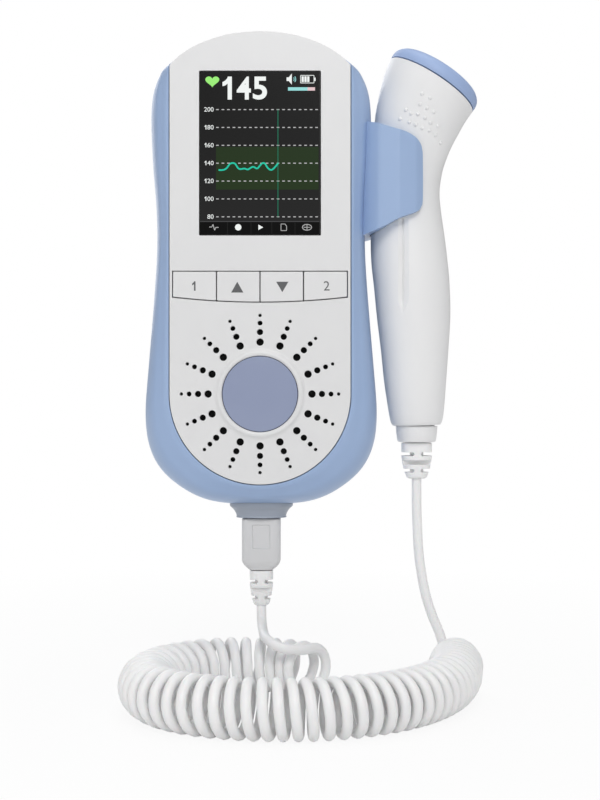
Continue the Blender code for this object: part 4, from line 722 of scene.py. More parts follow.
# Outlines and rings
def case_outline(steps=FINE_SPAN_STEPS):
    """The case seen from the front, from its top round by the right. One step gives its hollow's."""
    shares = CASE_OUTLINE_SHARES if steps > 1 else CASE_HOLLOW_SHARES
    mirrored = [(-shares[1][0], shares[1][1]), *shares, (-shares[-2][0], shares[-2][1])]
    half = curve_through(mirrored, steps)[steps:-steps]
    whole = half + [(-x, z) for x, z in reversed(half[1:-1])]
    for _ in range(OUTLINE_PASSES if steps > 1 else 0):
        whole = [
            tuple((p + 2 * q + r) / 4 for p, q, r in zip(whole[i - 1], whole[i], whole[(i + 1) % len(whole)]))
            for i in range(len(whole))
        ]
    widest = max(x for x, _ in whole)
    highest = max(z for _, z in whole)
    lowest = -min(z for _, z in whole)
    return [
        (x / widest * CASE_WIDTH / 2, z / (highest if z > 0 else lowest) * CASE_HEIGHT / 2) for x, z in whole
    ]


def dome_height(x):
    """Height of the front cover's domed top, which falls off beyond its corners."""
    rows = [
        (a * CASE_WIDTH / 2, b * CASE_HEIGHT / 2) for a,
        b in curve_through(COVER_DOME_SHARES, DOME_SPAN_STEPS)
    ]
    for (x0, z0), (x1, z1) in zip(rows, rows[1:]):
        if x0 <= abs(x) <= x1:
            return z0 + (z1 - z0) * (abs(x) - x0) / (x1 - x0)
    return rows[-1][1] - COVER_CORNER_FALL * (abs(x) - rows[-1][0])


def cover_edge(x, z):
    """The point of the cover's edge that a point of the case's outline faces."""
    reach = COVER_WIDTH / 2
    if z >= GRILLE_Z:
        return (max(-reach, min(reach, x)), min(z, dome_height(x)))
    away = Vector((x, z - GRILLE_Z)).normalized()
    return (reach * away.x, GRILLE_Z + reach * away.y)


def cover_outline(steps=FINE_SPAN_STEPS):
    return [cover_edge(x, z) for x, z in case_outline(steps)]


def blend_outline(first, second, share):
    return [(a + (c - a) * share, b + (d - b) * share) for (a, b), (c, d) in zip(first, second)]


def rim_outline(y, steps=FINE_SPAN_STEPS):
    """The case's outline in front of its middle, where the rim rounds over to the cover's edge."""
    drop = max(0.0, min(1.0, (RIM_Y + CASE_RIM_ROUND - y) / CASE_RIM_ROUND))
    return blend_outline(case_outline(steps), cover_outline(steps), 1 - math.sqrt(1 - drop * drop))


def rim_sections():
    """Sections of the rounded rim as (outline, y), from the middle to the cover, with a soft valley."""
    sections = []
    for i in range(RIM_STEPS + 1):
        a = math.pi / 2 * i / RIM_STEPS
        y = RIM_Y + CASE_RIM_ROUND * (1 - math.sin(a))
        away = (1 - math.cos(a) - RIM_VALLEY_SHARE) / RIM_VALLEY_WIDTH_SHARE
        sections.append((rim_outline(y), y + RIM_VALLEY_DEPTH * math.exp(-away * away)))
    return sections


def back_rings(inset, count, steps=FINE_SPAN_STEPS):
    """Sections of the rounded back edge as (outline, y), drawn in by a wall."""
    outer = case_outline(steps)
    back = offset(outer, -CASE_BACK_INSET)
    rings = []
    for i in range(count + 1):
        a = math.pi / 2 * i / count
        y = -inset - (CASE_BACK_ROUND - inset) * (1 - math.cos(a))
        outline = blend_outline(back, outer, math.sin(a))
        rings.append((offset(outline, -inset) if inset else outline, y))
    return rings


def case_half_width(z):
    right = [point for point in case_outline() if point[0] >= 0]
    for (x0, z0), (x1, z1) in zip(right, right[1:]):
        if z1 <= z <= z0:
            return x0 + (x1 - x0) * (z0 - z) / (z0 - z1)
    return right[0][0]


def row_edge(x, grow=0.0):
    """The key row's curved lower edge."""
    return KEY_TOP_Z - KEY_END_HEIGHT - KEY_ARC_RISE * (1 - (2 * x / KEY_ROW_WIDTH) ** 2) - grow


def row_outline(grow):
    half = KEY_ROW_WIDTH / 2
    count = KEY_COUNT * KEY_ARC_STEPS
    points = [(-half - grow, KEY_TOP_Z + grow), (half + grow, KEY_TOP_Z + grow)]
    for i in range(count + 1):
        x = half - 2 * half * i / count
        points.append((x * (1 + grow / half), row_edge(x, grow)))
    return points


def probe_place(station):
    """Centre, sideways direction, half width and half depth of one section of the probe."""
    height, sway, width, depth, tilt = station
    lean = PROBE_HEAD_TILT * tilt
    centre = Vector((PROBE_AXIS_X + PROBE_SWAY * sway, MIDDLE_Y, PROBE_FOOT_Z + PROBE_LENGTH * height))
    sideways = Vector((math.cos(lean), 0.0, -math.sin(lean)))
    return centre, sideways, PROBE_HEAD_DIAMETER / 2 * width, PROBE_HEAD_DIAMETER / 2 * depth


def probe_at(z):
    """The probe's section at a height, between the stations."""
    share = (z - PROBE_FOOT_Z) / PROBE_LENGTH
    stations = curve_through(PROBE_STATION_SHARES, PROBE_SPAN_STEPS)
    for low, high in zip(stations, stations[1:]):
        if low[0] <= share <= high[0]:
            t = (share - low[0]) / (high[0] - low[0])
            return probe_place([a + (b - a) * t for a, b in zip(low, high)])
    return probe_place(stations[-1])


# Unit
def make_case():
    """The blue rear shell: its rim rounds over in front, with a soft valley round the cover."""
    sections = back_rings(0.0, BACK_STEPS) + rim_sections()
    ledge_y = INNER_Y + COVER_LEDGE_THICKNESS
    middle_y = RIM_Y + CASE_RIM_ROUND
    ledge = offset(rim_outline(RIM_Y, 1), -COVER_LEDGE)
    hollow = back_rings(CASE_WALL, 2, 1)
    hollow += [
        (offset(rim_outline(y, 1), -CASE_WALL), y) for y in (middle_y, (middle_y + ledge_y) / 2, ledge_y)
    ]
    bay = block(
        -BAY_WIDTH / 2 - BAY_WALL, BAY_WIDTH / 2 + BAY_WALL, BAY_FLOOR_Y - BAY_FLOOR, OVERRUN,
        BAY_BOTTOM_Z - BAY_END_WALL, BAY_TOP_Z + BAY_END_WALL,
    )
    posts = gather([
        prism(circle(POST_DIAMETER / 2, HOLE_SIDES, place), COVER_BACK_Y + BOSS_LENGTH + GAP, OVERRUN)
        for place in POST_PLACES
    ])
    cavity = carved(
        across([*hollow, (ledge, ledge_y), (ledge, RIM_Y - OVERRUN)]), (bay, "DIFFERENCE"),
        (posts, "DIFFERENCE"),
    )
    hole = bmesh.new()
    hole.from_mesh(cavity)
    cuts = [
        hole,
        block(-BAY_WIDTH / 2, BAY_WIDTH / 2, BAY_FLOOR_Y, OVERRUN, BAY_BOTTOM_Z, BAY_TOP_Z),
        block(
            -BAY_WIDTH / 2 - DOOR_LEDGE - GAP, BAY_WIDTH / 2 + DOOR_LEDGE + GAP, -DOOR_THICKNESS - GAP,
            OVERRUN,
            BAY_BOTTOM_Z - DOOR_LEDGE - GAP, BAY_TOP_Z + DOOR_LEDGE + GAP,
        ),
        gather(
            [prism(circle(SCREW_BORE / 2, HOLE_SIDES, place), RIM_Y, SCREW_FLOOR_Y) for place in POST_PLACES]
        ),
        gather([
            prism(circle(SCREW_HEAD_BORE / 2, HOLE_SIDES, place), SCREW_FLOOR_Y - GAP / 2, OVERRUN)
            for place in POST_PLACES
        ]),
    ]
    for z in HOLDER_SCREW_HEIGHTS:
        radius = HOLDER_BOSS_DIAMETER / 2 + GAP
        opening = turned([(radius, 0.0), (radius, 2 * OVERRUN)], HOLE_SIDES)
        opening.transform(
            Matrix.Translation(
                (case_half_width(z) - OVERRUN, MIDDLE_Y, z)
            ) @ Matrix.Rotation(math.pi / 2, 4, "Y")
        )
        cuts.append(opening)
    neck = oval(COLLAR_NECK_WIDTH + 2 * GAP, COLLAR_NECK_DEPTH + 2 * GAP)
    cuts.append(upright([(neck, COLLAR_TOP_Z - OVERRUN), (neck, COLLAR_TOP_Z + 2 * OVERRUN)], 0.0, MIDDLE_Y))
    reach = KEY_ROW_WIDTH / 2 + GAP
    cuts.append(block(
        -reach, reach, INNER_Y - GAP, INNER_Y + KEY_FLANGE_THICKNESS + KEY_TRAVEL + GAP,
        KEY_TOP_Z - KEY_END_HEIGHT - KEY_ARC_RISE - KEY_FLANGE - GAP, KEY_TOP_Z + KEY_FLANGE + GAP,
    ))
    pocket = [(x, z + OVERRUN if z > COVER_SHOULDER_Z else z) for x, z in offset(cover_outline(), GAP)]
    cuts.append(prism(pocket, RIM_Y - OVERRUN, INNER_Y))
    mesh = carved(across(sections), *[(cut, "DIFFERENCE") for cut in cuts])
    settle(show("rear_case", mesh, FINISH["blue_abs"], smooth=32.0), "unit", "blue_abs", "rear_shell")


def plate_tree(finish):
    """A plate with rays of round holes: outlines and rings of circles, filled and thickened."""
    tree = bpy.data.node_groups.new("perforated_plate", "GeometryNodeTree")
    rings = range(len(RAY_RADII))
    names = ["Thickness", "Grille height", "Front"]
    names += [f"Ring {i + 1} radius" for i in rings] + [f"Ring {i + 1} hole" for i in rings]
    node_inputs(tree, [(name, "NodeSocketFloat") for name in names] + [("Rays", "NodeSocketInt")])
    given = step(tree, "NodeGroupInput").outputs
    join = step(tree, "GeometryNodeJoinGeometry")
    outline = step(tree, "GeometryNodeMeshToCurve", {"Mesh": given["Geometry"]})
    tree.links.new(outline.outputs["Curve"], join.inputs["Geometry"])
    centre = step(tree, "ShaderNodeCombineXYZ", {"Y": given["Grille height"]})
    for i in rings:
        ring = step(tree, "GeometryNodeMeshCircle", {
            "Vertices": given["Rays"], "Radius": given[f"Ring {i + 1} radius"],
        }, fill_type="NONE")
        place = step(tree, "GeometryNodeTransform", {
            "Geometry": ring.outputs["Mesh"], "Translation": centre.outputs["Vector"],
        })
        half = step(tree, "ShaderNodeMath", {0: given[f"Ring {i + 1} hole"], 1: 0.5}, operation="MULTIPLY")
        hole = step(tree, "GeometryNodeCurvePrimitiveCircle", {
            "Resolution": HOLE_SIDES, "Radius": half.outputs["Value"],
        })
        copies = step(tree, "GeometryNodeInstanceOnPoints", {
            "Points": place.outputs["Geometry"], "Instance": hole.outputs["Curve"],
        })
        real = step(tree, "GeometryNodeRealizeInstances", {"Geometry": copies.outputs["Instances"]})
        tree.links.new(real.outputs["Geometry"], join.inputs["Geometry"])
    fill = step(
        tree, "GeometryNodeFillCurve", {"Curve": join.outputs["Geometry"]}, mode="TRIANGLES"
    ).outputs["Mesh"]
    raised = step(tree, "GeometryNodeExtrudeMesh", {
        "Mesh": fill, "Offset Scale": given["Thickness"], "Individual": False,
    }, mode="FACES")
    back = step(tree, "GeometryNodeFlipFaces", {"Mesh": fill})
    both = step(tree, "GeometryNodeJoinGeometry")
    tree.links.new(raised.outputs["Mesh"], both.inputs["Geometry"])
    tree.links.new(back.outputs["Mesh"], both.inputs["Geometry"])
    merged = step(
        tree, "GeometryNodeMergeByDistance", {"Geometry": both.outputs["Geometry"], "Distance": 0.002 * MM}
    )
    depth = step(tree, "ShaderNodeMath", {0: given["Front"], 1: given["Thickness"]}, operation="ADD")
    away = step(tree, "ShaderNodeCombineXYZ", {"Y": depth.outputs["Value"]})
    turn = step(tree, "GeometryNodeTransform", {
        "Geometry": merged.outputs["Geometry"], "Translation": away.outputs["Vector"],
        "Rotation": (math.pi / 2, 0.0, 0.0),
    })
    real = step(tree, "GeometryNodeRealizeInstances", {"Geometry": turn.outputs["Geometry"]})
    dressed = step(
        tree, "GeometryNodeSetMaterial", {"Geometry": real.outputs["Geometry"], "Material": finish}
    )
    step(tree, "NodeGroupOutput", {"Geometry": dressed.outputs["Geometry"]})
    return tree


def make_cover():
    centre = (0.0, LENS_CENTRE_Z)
    loops = [
        cover_outline(),
        rounded(LENS_WIDTH + GAP, LENS_HEIGHT + GAP, LENS_OPENING_CORNER, centre=centre),
        row_outline(GAP),
        circle(BADGE_RING_DIAMETER / 2 + GAP, OVAL_STEPS, (0.0, GRILLE_Z)),
    ]
    lines = bmesh.new()
    for loop in loops:
        points = [lines.verts.new((x, z, 0.0)) for x, z in loop]
        for i in range(len(points)):
            lines.edges.new((points[i - 1], points[i]))
    values = {"Thickness": COVER_THICKNESS, "Grille height": GRILLE_Z, "Front": FRONT_Y, "Rays": RAY_COUNT}
    for i, (radius, hole) in enumerate(zip(RAY_RADII, RAY_HOLES)):
        values[f"Ring {i + 1} radius"] = radius
        values[f"Ring {i + 1} hole"] = hole
    plate = bmesh.new()
    # The cover's plate takes the darker copy of the white ABS: painted shade
    plate.from_mesh(grown("perforated_cover", lines, plate_tree(FINISH["shaded_front_abs"]), values))
    bosses = gather([
        loft([
            [Vector((x, y, z)) for x, z in circle(radius, HOLE_SIDES, place)]
            for radius, y in (
                (BOSS_DIAMETER / 2, COVER_BACK_Y), (BOSS_DIAMETER / 2, COVER_BACK_Y + BOSS_LENGTH),
                (SCREW_BORE / 2, COVER_BACK_Y + BOSS_LENGTH), (SCREW_BORE / 2, COVER_BACK_Y),
            )
        ], ends=False)
        for place in POST_PLACES
    ])
    whole = gather([plate, bosses])
    settle(
        show("perforated_front", whole, FINISH["shaded_front_abs"], smooth=40.0, edge=COVER_ROUND), "unit",
        "white_abs",
        "front_cover",
    )


def make_badge():
    """A raised ring with a round lip, and the plain disc that it holds."""
    face = Matrix.Translation((0.0, FRONT_Y, GRILLE_Z)) @ Matrix.Rotation(math.pi / 2, 4, "X")
    outer = BADGE_RING_DIAMETER / 2
    inner = BADGE_DISC_DIAMETER / 2 + GAP / 2
    floor = GAP - BADGE_SEAT_DEPTH
    middle = (outer + inner) / 2
    half = (outer - inner) / 2
    low = BADGE_RING_PROUD * 0.15
    lip = [(outer, floor), (outer, BADGE_SKIRT_GAP), (outer + 2 * GAP, BADGE_SKIRT_GAP)]
    for i in range(13):
        a = math.pi * i / 12
        reach = middle + half * math.cos(a) + (2 * GAP if i == 0 else 0.0)
        lip.append((reach, low + (BADGE_RING_PROUD - low) * math.sin(a)))
    lip.append((inner, floor))
    ring = turned(lip, 2 * OVAL_STEPS, ends=False)
    ring.transform(face)
    # The badge's lip takes the darker copy of the white ABS: painted shade
    settle(show("badge_lip", ring, FINISH["shaded_front_abs"], smooth=50.0), "unit", "white_abs", "badge_ring")
    reach = BADGE_DISC_DIAMETER / 2
    edge = 0.25 * MM
    profile = [(reach, floor), (reach, BADGE_DISC_PROUD - edge)]
    profile += [
        (reach - edge * (1 - math.cos(a)), BADGE_DISC_PROUD - edge * (1 - math.sin(a)))
        for a in (math.pi / 2 * i / 4 for i in range(1, 5))
    ]
    profile.append((reach * 0.5, BADGE_DISC_PROUD))
    disc = turned(profile, 2 * OVAL_STEPS)
    disc.transform(face)
    settle(show("badge_plate", disc, FINISH["badge_film"]), "unit", "badge_film", "badge_disc")


def make_key_caps():
    """Four satin caps with round edges, each with a flange behind the cover."""
    width = KEY_ROW_WIDTH / KEY_COUNT
    front = FRONT_Y - KEY_PROUD
    for i, name in enumerate(("key_one", "key_up", "key_down", "key_two")):
        left = -KEY_ROW_WIDTH / 2 + i * width + (GAP / 2 if i else 0.0)
        right = -KEY_ROW_WIDTH / 2 + (i + 1) * width - (GAP / 2 if i < KEY_COUNT - 1 else 0.0)
        face = [(left, KEY_TOP_Z), (right, KEY_TOP_Z)]
        for k in range(KEY_ARC_STEPS + 1):
            x = right + (left - right) * k / KEY_ARC_STEPS
            face.append((x, row_edge(x)))
        flange = [(x, z + (KEY_FLANGE if z == KEY_TOP_Z else -KEY_FLANGE)) for x, z in face]
        cap = across([
            (face, front), (face, INNER_Y), (flange, INNER_Y), (flange, INNER_Y + KEY_FLANGE_THICKNESS),
        ])
        # The caps take the darker copy of the white ABS: painted shade
        piece = show(name + "_face", cap, FINISH["shaded_front_abs"], smooth=40.0, edge=KEY_EDGE, segments=3)
        settle(piece, name + "_cap", "white_abs", name)


def make_door():
    """The battery door, with finger ribs sunk into its upper end."""
    reach = BAY_WIDTH / 2 + DOOR_LEDGE
    slab = block(-reach, reach, -DOOR_THICKNESS, 0.0, BAY_BOTTOM_Z - DOOR_LEDGE, BAY_TOP_Z + DOOR_LEDGE)
    ribs = []
    for i in range(DOOR_RIB_COUNT):
        top = DOOR_RIB_TOP_Z - i * DOOR_RIB_PITCH
        centre = (0.0, top - DOOR_RIB_PITCH / 4)
        ribs.append(prism(
            rounded(2 * DOOR_RIB_REACH, DOOR_RIB_PITCH / 2, DOOR_RIB_PITCH / 5, centre=centre),
            -DOOR_RIB_DEPTH, OVERRUN,
        ))
    mesh = carved(slab, (gather(ribs), "DIFFERENCE"))
    piece = show("door_panel", mesh, FINISH["blue_abs"], smooth=40.0, edge=0.22 * MM)
    settle(piece, "door", "blue_abs", "battery_door")


# Probe and its holder
def half_ring(station, side):
    """The C-shaped section of one half of the handle."""
    centre, sideways, half_width, half_depth = probe_place(station)
    points = []
    for steps, inset, order in ((PROBE_OUTER_STEPS, 0.0, 1), (PROBE_INNER_STEPS, PROBE_WALL, -1)):
        row = []
        for i in range(steps + 1):
            a = math.pi * i / steps
            y = side * (GAP / 2 + (half_depth - inset) * math.sin(a))
            row.append(centre + sideways * (half_width - inset) * math.cos(a) + Vector((0.0, y, 0.0)))
        points += row[::order]
    return points


def dots_tree(finish):
    """Flat-topped dots on points, each turned to face out of the surface that carries it."""
    tree = bpy.data.node_groups.new("grip_dots", "GeometryNodeTree")
    node_inputs(tree, [("Dot radius", "NodeSocketFloat"), ("Dot rise", "NodeSocketFloat")])
    given = step(tree, "NodeGroupInput").outputs
    ball = step(
        tree, "GeometryNodeMeshUVSphere", {"Segments": 16, "Rings": 10, "Radius": given["Dot radius"]}
    )
    flat = step(tree, "ShaderNodeCombineXYZ", {"X": 1.0, "Y": 1.0, "Z": given["Dot rise"]})
    dot = step(
        tree, "GeometryNodeTransform", {"Geometry": ball.outputs["Mesh"], "Scale": flat.outputs["Vector"]}
    )
    facing = step(tree, "GeometryNodeInputNamedAttribute", {"Name": "facing"}, data_type="FLOAT_VECTOR")
    turn = step(tree, "FunctionNodeAlignRotationToVector", {"Vector": facing.outputs["Attribute"]}, axis="Z")
    copies = step(tree, "GeometryNodeInstanceOnPoints", {
        "Points": given["Geometry"], "Instance": dot.outputs["Geometry"],
        "Rotation": turn.outputs["Rotation"],
    })
    real = step(tree, "GeometryNodeRealizeInstances", {"Geometry": copies.outputs["Instances"]})
    dressed = step(
        tree, "GeometryNodeSetMaterial", {"Geometry": real.outputs["Geometry"], "Material": finish}
    )
    step(tree, "NodeGroupOutput", {"Geometry": dressed.outputs["Geometry"]})
    return tree


def make_grip_dots(surface):
    """Raised dots where the thumb rests, put on the handle's surface where the camera sees them."""
    eye = bpy.context.scene.camera.location
    points = bmesh.new()
    layer = points.verts.layers.float_vector.new("facing")
    for px, py in GRIP_DOT_PIXELS:
        x, z = on_face(px, py)
        place, normal, _, _ = surface.ray_cast(eye, (Vector((x, FRONT_Y, z)) - eye).normalized())
        points.verts.new(place)[layer] = normal
    values = {"Dot radius": DOT_DIAMETER / 2, "Dot rise": DOT_RISE_SHARE}
    mesh = grown("thumb_grip_dots", points, dots_tree(FINISH["white_abs"]), values)
    settle(show("thumb_grip_dots", mesh, FINISH["white_abs"]), "probe", "white_abs")


def groove_ring(height, width_share, depth_share):
    """One section of the finger groove's cutter: wide soft flanks with a narrow slit in the middle."""
    z = GROOVE_TOP_Z - GROOVE_LENGTH * height
    centre, _, half_width, half_depth = probe_at(z)
    ring = []
    for across_share, sink in GROOVE_SECTION_SHARES:
        x = GROOVE_X + GROOVE_WIDTH / 2 * width_share * across_share
        surface = MIDDLE_Y - half_depth * math.sqrt(1 - ((x - centre.x) / half_width) ** 2)
        ring.append(Vector((x, surface - GROOVE_LIP + (GROOVE_DEPTH * depth_share + GROOVE_LIP) * sink, z)))
    first, last = ring[0], ring[-1]
    return [Vector((last.x, last.y - OVERRUN, z)), *reversed(ring), Vector((first.x, first.y - OVERRUN, z))]


def make_handle():
    stations = curve_through(PROBE_STATION_SHARES, PROBE_SPAN_STEPS)
    for name, node, side in (
        ("handle_front_shell", "handle_front", -1), ("handle_rear_shell", "handle_rear", 1)
    ):
        half = loft([half_ring(station, side) for station in stations])
        if side < 0:
            make_grip_dots(BVHTree.FromBMesh(half))
            rings = [groove_ring(*row) for row in curve_through(GROOVE_POINT_SHARES, 4)]
            half = carved(half, (loft(rings), "DIFFERENCE"))
        piece = show(name, half, FINISH["white_abs"], smooth=38.0)
        settle(piece, "probe", "white_abs", node)


def make_cap():
    """The soft face: one turned skin over the crystals, a gap away from the handle's rim."""
    centre = probe_place(PROBE_STATION_SHARES[-1])[0]
    face = Matrix.Translation(centre) @ Matrix.Rotation(PROBE_HEAD_TILT, 4, "Y")
    base = CAP_HEIGHT * CAP_PROFILE_SHARES[0][1] + GAP / 2
    radius = PROBE_HEAD_DIAMETER / 2
    profile = [(CRYSTAL_SEAT, base + CRYSTAL_THICKNESS + GAP), (CRYSTAL_SEAT, base)]
    profile += [(radius * r, base + CAP_HEIGHT * h) for r, h in curve_through(CAP_PROFILE_SHARES, 4)]
    cap = turned(profile, CAP_STEPS)
    cap.transform(face)
    piece = show("soft_face", cap, FINISH["blue_elastomer"], smooth=50.0)
    settle(piece, "probe", "blue_elastomer", "probe_cap")


def case_around():
    """The case's outside, a fine seam larger, which what fits against it is cut by."""
    around = [(offset(outline, HOLDER_SEAM), y) for outline, y in rim_sections()]
    return [(around[0][0], 2 * OVERRUN), *around]


def holder_plan():
    """The clip seen from above: a circle with flat bands, cut off where it meets the case."""
    corners = [math.radians(a) for a in HOLDER_BAND_ANGLES]
    plan = []
    for i in range(HOLDER_STEPS):
        a = 2 * math.pi * i / HOLDER_STEPS - math.pi
        radius = HOLDER_RADIUS
        for low, high in zip(corners, corners[1:]):
            if low <= a <= high:
                flat = HOLDER_RADIUS * math.cos((high - low) / 2) / math.cos(a - (low + high) / 2)
                radius = HOLDER_FLATNESS * flat + (1 - HOLDER_FLATNESS) * HOLDER_RADIUS
        if a < corners[1]:
            radius -= HOLDER_ROOT_FALL * (corners[1] - a) / (corners[1] - corners[0])
        plan.append(
            (max(HOLDER_CENTRE_X + radius * math.cos(a), HOLDER_ROOT_X), MIDDLE_Y + radius * math.sin(a))
        )
    return plan


def make_holder():
    """A clip round the handle, open to the side, with its edges rounded."""
    plan = holder_plan()
    low = HOLDER_TOP_Z - HOLDER_HEIGHT
    body = upright([(plan, low - OVERRUN), (plan, HOLDER_TOP_Z + OVERRUN)], 0.0, 0.0)
    reach = HOLDER_TIP_X - HOLDER_ROOT_X
    front = [
        (HOLDER_ROOT_X + reach * x, low + HOLDER_HEIGHT * z) for x,
        z in curve_through(HOLDER_OUTLINE_SHARES, 5)
    ]
    front += [(HOLDER_ROOT_X - OVERRUN, low), (HOLDER_ROOT_X - OVERRUN, HOLDER_TOP_Z)]
    rings = []
    for station in curve_through(PROBE_STATION_SHARES, PROBE_SPAN_STEPS):
        centre, sideways, half_width, half_depth = probe_place(station)
        if not low - 2 * OVERRUN < centre.z < HOLDER_TOP_Z + 2 * OVERRUN:
            continue
        ring = []
        for start, slide in ((math.pi / 2, 0.0), (-math.pi / 2, PROBE_PULL)):
            for i in range(PROBE_OUTER_STEPS + 1):
                a = start + math.pi * i / PROBE_OUTER_STEPS
                x = (half_width + HOLDER_PLAY) * math.cos(a)
                y = (half_depth + HOLDER_PLAY) * math.sin(a)
                ring.append(centre + sideways * x + Vector((slide, y, 0.0)))
        rings.append(ring)
    mesh = carved(
        body, (prism(front, FRONT_Y - OVERRUN, OVERRUN), "INTERSECT"),
        (across(case_around()), "DIFFERENCE"), (loft(rings), "DIFFERENCE"),
    )
    clip = bmesh.new()
    clip.from_mesh(mesh)
    bosses = []
    for z in HOLDER_SCREW_HEIGHTS:
        wall = case_half_width(z)
        radius = HOLDER_BOSS_DIAMETER / 2
        boss = turned([(radius, 0.0), (radius, CASE_WALL + GAP)], HOLE_SIDES)
        boss.transform(
            Matrix.Translation((wall + 2 * GAP, MIDDLE_Y, z)) @ Matrix.Rotation(-math.pi / 2, 4, "Y")
        )
        bosses.append(boss)
    piece = show(
        "side_clip", carved(clip, (gather(bosses), "UNION")), FINISH["blue_abs"], smooth=40.0,
        edge=HOLDER_EDGE,
        segments=3,
    )
    settle(piece, "unit", "blue_abs", "probe_holder")


# Tail, plug and socket
def relief_mesh(x, top_z, width, length):
    """A flexible relief: a taper slotted from both sides, from front and back, and from both sides again."""
    sections = []
    for height, share in RELIEF_PROFILE_SHARES:
        outline = oval(width * share, width * share * RELIEF_DEPTH_SHARE)
        sections.append((outline, top_z - length * height))
    cuts = []
    half = length * RELIEF_SLOT_HEIGHT_SHARE / 2
    for share in RELIEF_SLOT_SHARES:
        z = top_z - length * share
        for low, high in ((-width, -RELIEF_BRIDGE), (RELIEF_BRIDGE, width)):
            cuts.append(block(x + low, x + high, MIDDLE_Y - width, MIDDLE_Y + width, z - half, z + half))
    z = top_z - length * RELIEF_FRONT_SLOT_SHARE
    half *= RELIEF_FRONT_SLOT_SCALE
    for low, high in ((-width, -RELIEF_CORE), (RELIEF_CORE, width)):
        cuts.append(block(x - width, x + width, MIDDLE_Y + low, MIDDLE_Y + high, z - half, z + half))
    front = MIDDLE_Y - width * RELIEF_DEPTH_SHARE / 2
    eyes = []
    for share in RELIEF_SLOT_SHARES:
        z = top_z - length * share
        for side in (-1, 1):
            for start, end in (
                (front - OVERRUN, front + RELIEF_EYE_DEPTH), (2 * MIDDLE_Y - front - RELIEF_EYE_DEPTH, 0.0)
            ):
                eyes.append(
                    prism(circle(RELIEF_EYE / 2, HOLE_SIDES, (x + side * RELIEF_EYE_X, z)), start, end)
                )
    return carved(upright(sections, x, MIDDLE_Y), (gather(cuts), "DIFFERENCE"), (gather(eyes), "DIFFERENCE"))


def make_tail():
    radius = TAIL_DIAMETER / 2
    profile = [(TAIL_SPIGOT_DIAMETER / 2, TAIL_SPIGOT_HEIGHT), (TAIL_SPIGOT_DIAMETER / 2, 0.0)]
    profile += [(radius * r, -TAIL_HEIGHT * h) for r, h in TAIL_EDGE_SHARES]
    collar = turned(profile, OVAL_STEPS)
    collar.transform(Matrix.Translation((TAIL_X, MIDDLE_Y, TAIL_TOP_Z)))
    settle(show("tail_ring", collar, FINISH["white_abs"]), "probe", "white_abs", "tail_collar")
    for name, node, body, x, top_z, width, length in (
        (
            "probe_boot", "probe_relief", "probe", TAIL_X, PROBE_RELIEF_TOP_Z, PROBE_RELIEF_WIDTH,
            PROBE_RELIEF_LENGTH
        ),
        ("plug_boot", "plug_relief", "plug", 0.0, PLUG_RELIEF_TOP_Z, PLUG_RELIEF_WIDTH, PLUG_RELIEF_LENGTH),
    ):
        piece = show(
            name, relief_mesh(x, top_z, width, length), FINISH["white_pvc"], smooth=38.0, edge=RELIEF_EDGE
        )
        settle(piece, body, "white_pvc", node)


def make_collar():
    """The flared grey collar that the plug goes into."""
    neck = oval(COLLAR_NECK_WIDTH, COLLAR_NECK_DEPTH)
    top = oval(COLLAR_TOP_WIDTH, COLLAR_TOP_DEPTH)
    sections = [(top, COLLAR_TOP_Z + COLLAR_FIT_HEIGHT)]
    for height, share in curve_through(COLLAR_WAIST_SHARES, 4):
        width = COLLAR_END_WIDTH + (COLLAR_TOP_WIDTH - COLLAR_END_WIDTH) * share
        depth = COLLAR_END_DEPTH + (COLLAR_TOP_DEPTH - COLLAR_END_DEPTH) * share
        sections.append((oval(width, depth), COLLAR_TOP_Z - COLLAR_HEIGHT * height))
    bore = rounded(SOCKET_WIDTH + 2 * GAP, SOCKET_DEPTH + 2 * GAP, LENS_CORNER + GAP)
    mouth = upright([(bore, COLLAR_TOP_Z - 2 * OVERRUN), (bore, COLLAR_TOP_Z + 2 * OVERRUN)], 0.0, MIDDLE_Y)
    spigot = upright([(neck, COLLAR_TOP_Z + COLLAR_NECK_HEIGHT), (neck, COLLAR_TOP_Z - GAP)], 0.0, MIDDLE_Y)
    mesh = carved(
        upright(sections, 0.0, MIDDLE_Y), (across(case_around()), "DIFFERENCE"), (spigot, "UNION"),
        (mouth, "DIFFERENCE"),
    )
    settle(show("plug_collar", mesh, FINISH["grey_abs"], smooth=40.0), "unit", "grey_abs", "socket_collar")


def make_plug():
    square = oval(PLUG_BODY_WIDTH, PLUG_BODY_DEPTH, power=6)
    small = oval(PLUG_TAPER_WIDTH, PLUG_TAPER_DEPTH, power=4)
    waist = PLUG_TOP_Z - PLUG_BODY_HEIGHT
    sections = []
    for i in range(5):
        a = math.pi / 2 * i / 4
        inset = PLUG_EDGE * (1 - math.sin(a))
        outline = oval(PLUG_BODY_WIDTH - 2 * inset, PLUG_BODY_DEPTH - 2 * inset, power=6)
        sections.append((outline, PLUG_TOP_Z - PLUG_EDGE * (1 - math.cos(a))))
    sections.append((square, waist))
    for height, share in ((0.25, 0.09), (0.50, 0.30), (0.72, 0.56), (0.88, 0.82), (1.0, 1.0)):
        sections.append((blend_outline(square, small, share), waist - PLUG_TAPER_HEIGHT * height))
    panel_z = PLUG_TOP_Z - PLUG_PANEL_FALL
    face = MIDDLE_Y - PLUG_BODY_DEPTH / 2
    panel = [
        (
            rounded(
                PLUG_PANEL_WIDTH + grow, PLUG_PANEL_HEIGHT + grow, LENS_CORNER + grow, centre=(0.0, panel_z)
            ), y
        )
        for grow, y in (
            (2 * PLUG_PANEL_DEPTH, face - PLUG_PANEL_DEPTH), (-2 * PLUG_PANEL_DEPTH, face + PLUG_PANEL_DEPTH)
        )
    ]
    mesh = carved(upright(sections, 0.0, MIDDLE_Y), (across(panel), "DIFFERENCE"))
    # The plug's body takes the greyer copy of the white PVC: painted shade for the collar's shadow
    settle(show("plug_grip", mesh, FINISH["shaded_plug_pvc"], smooth=40.0), "plug", "white_pvc", "plug_body")


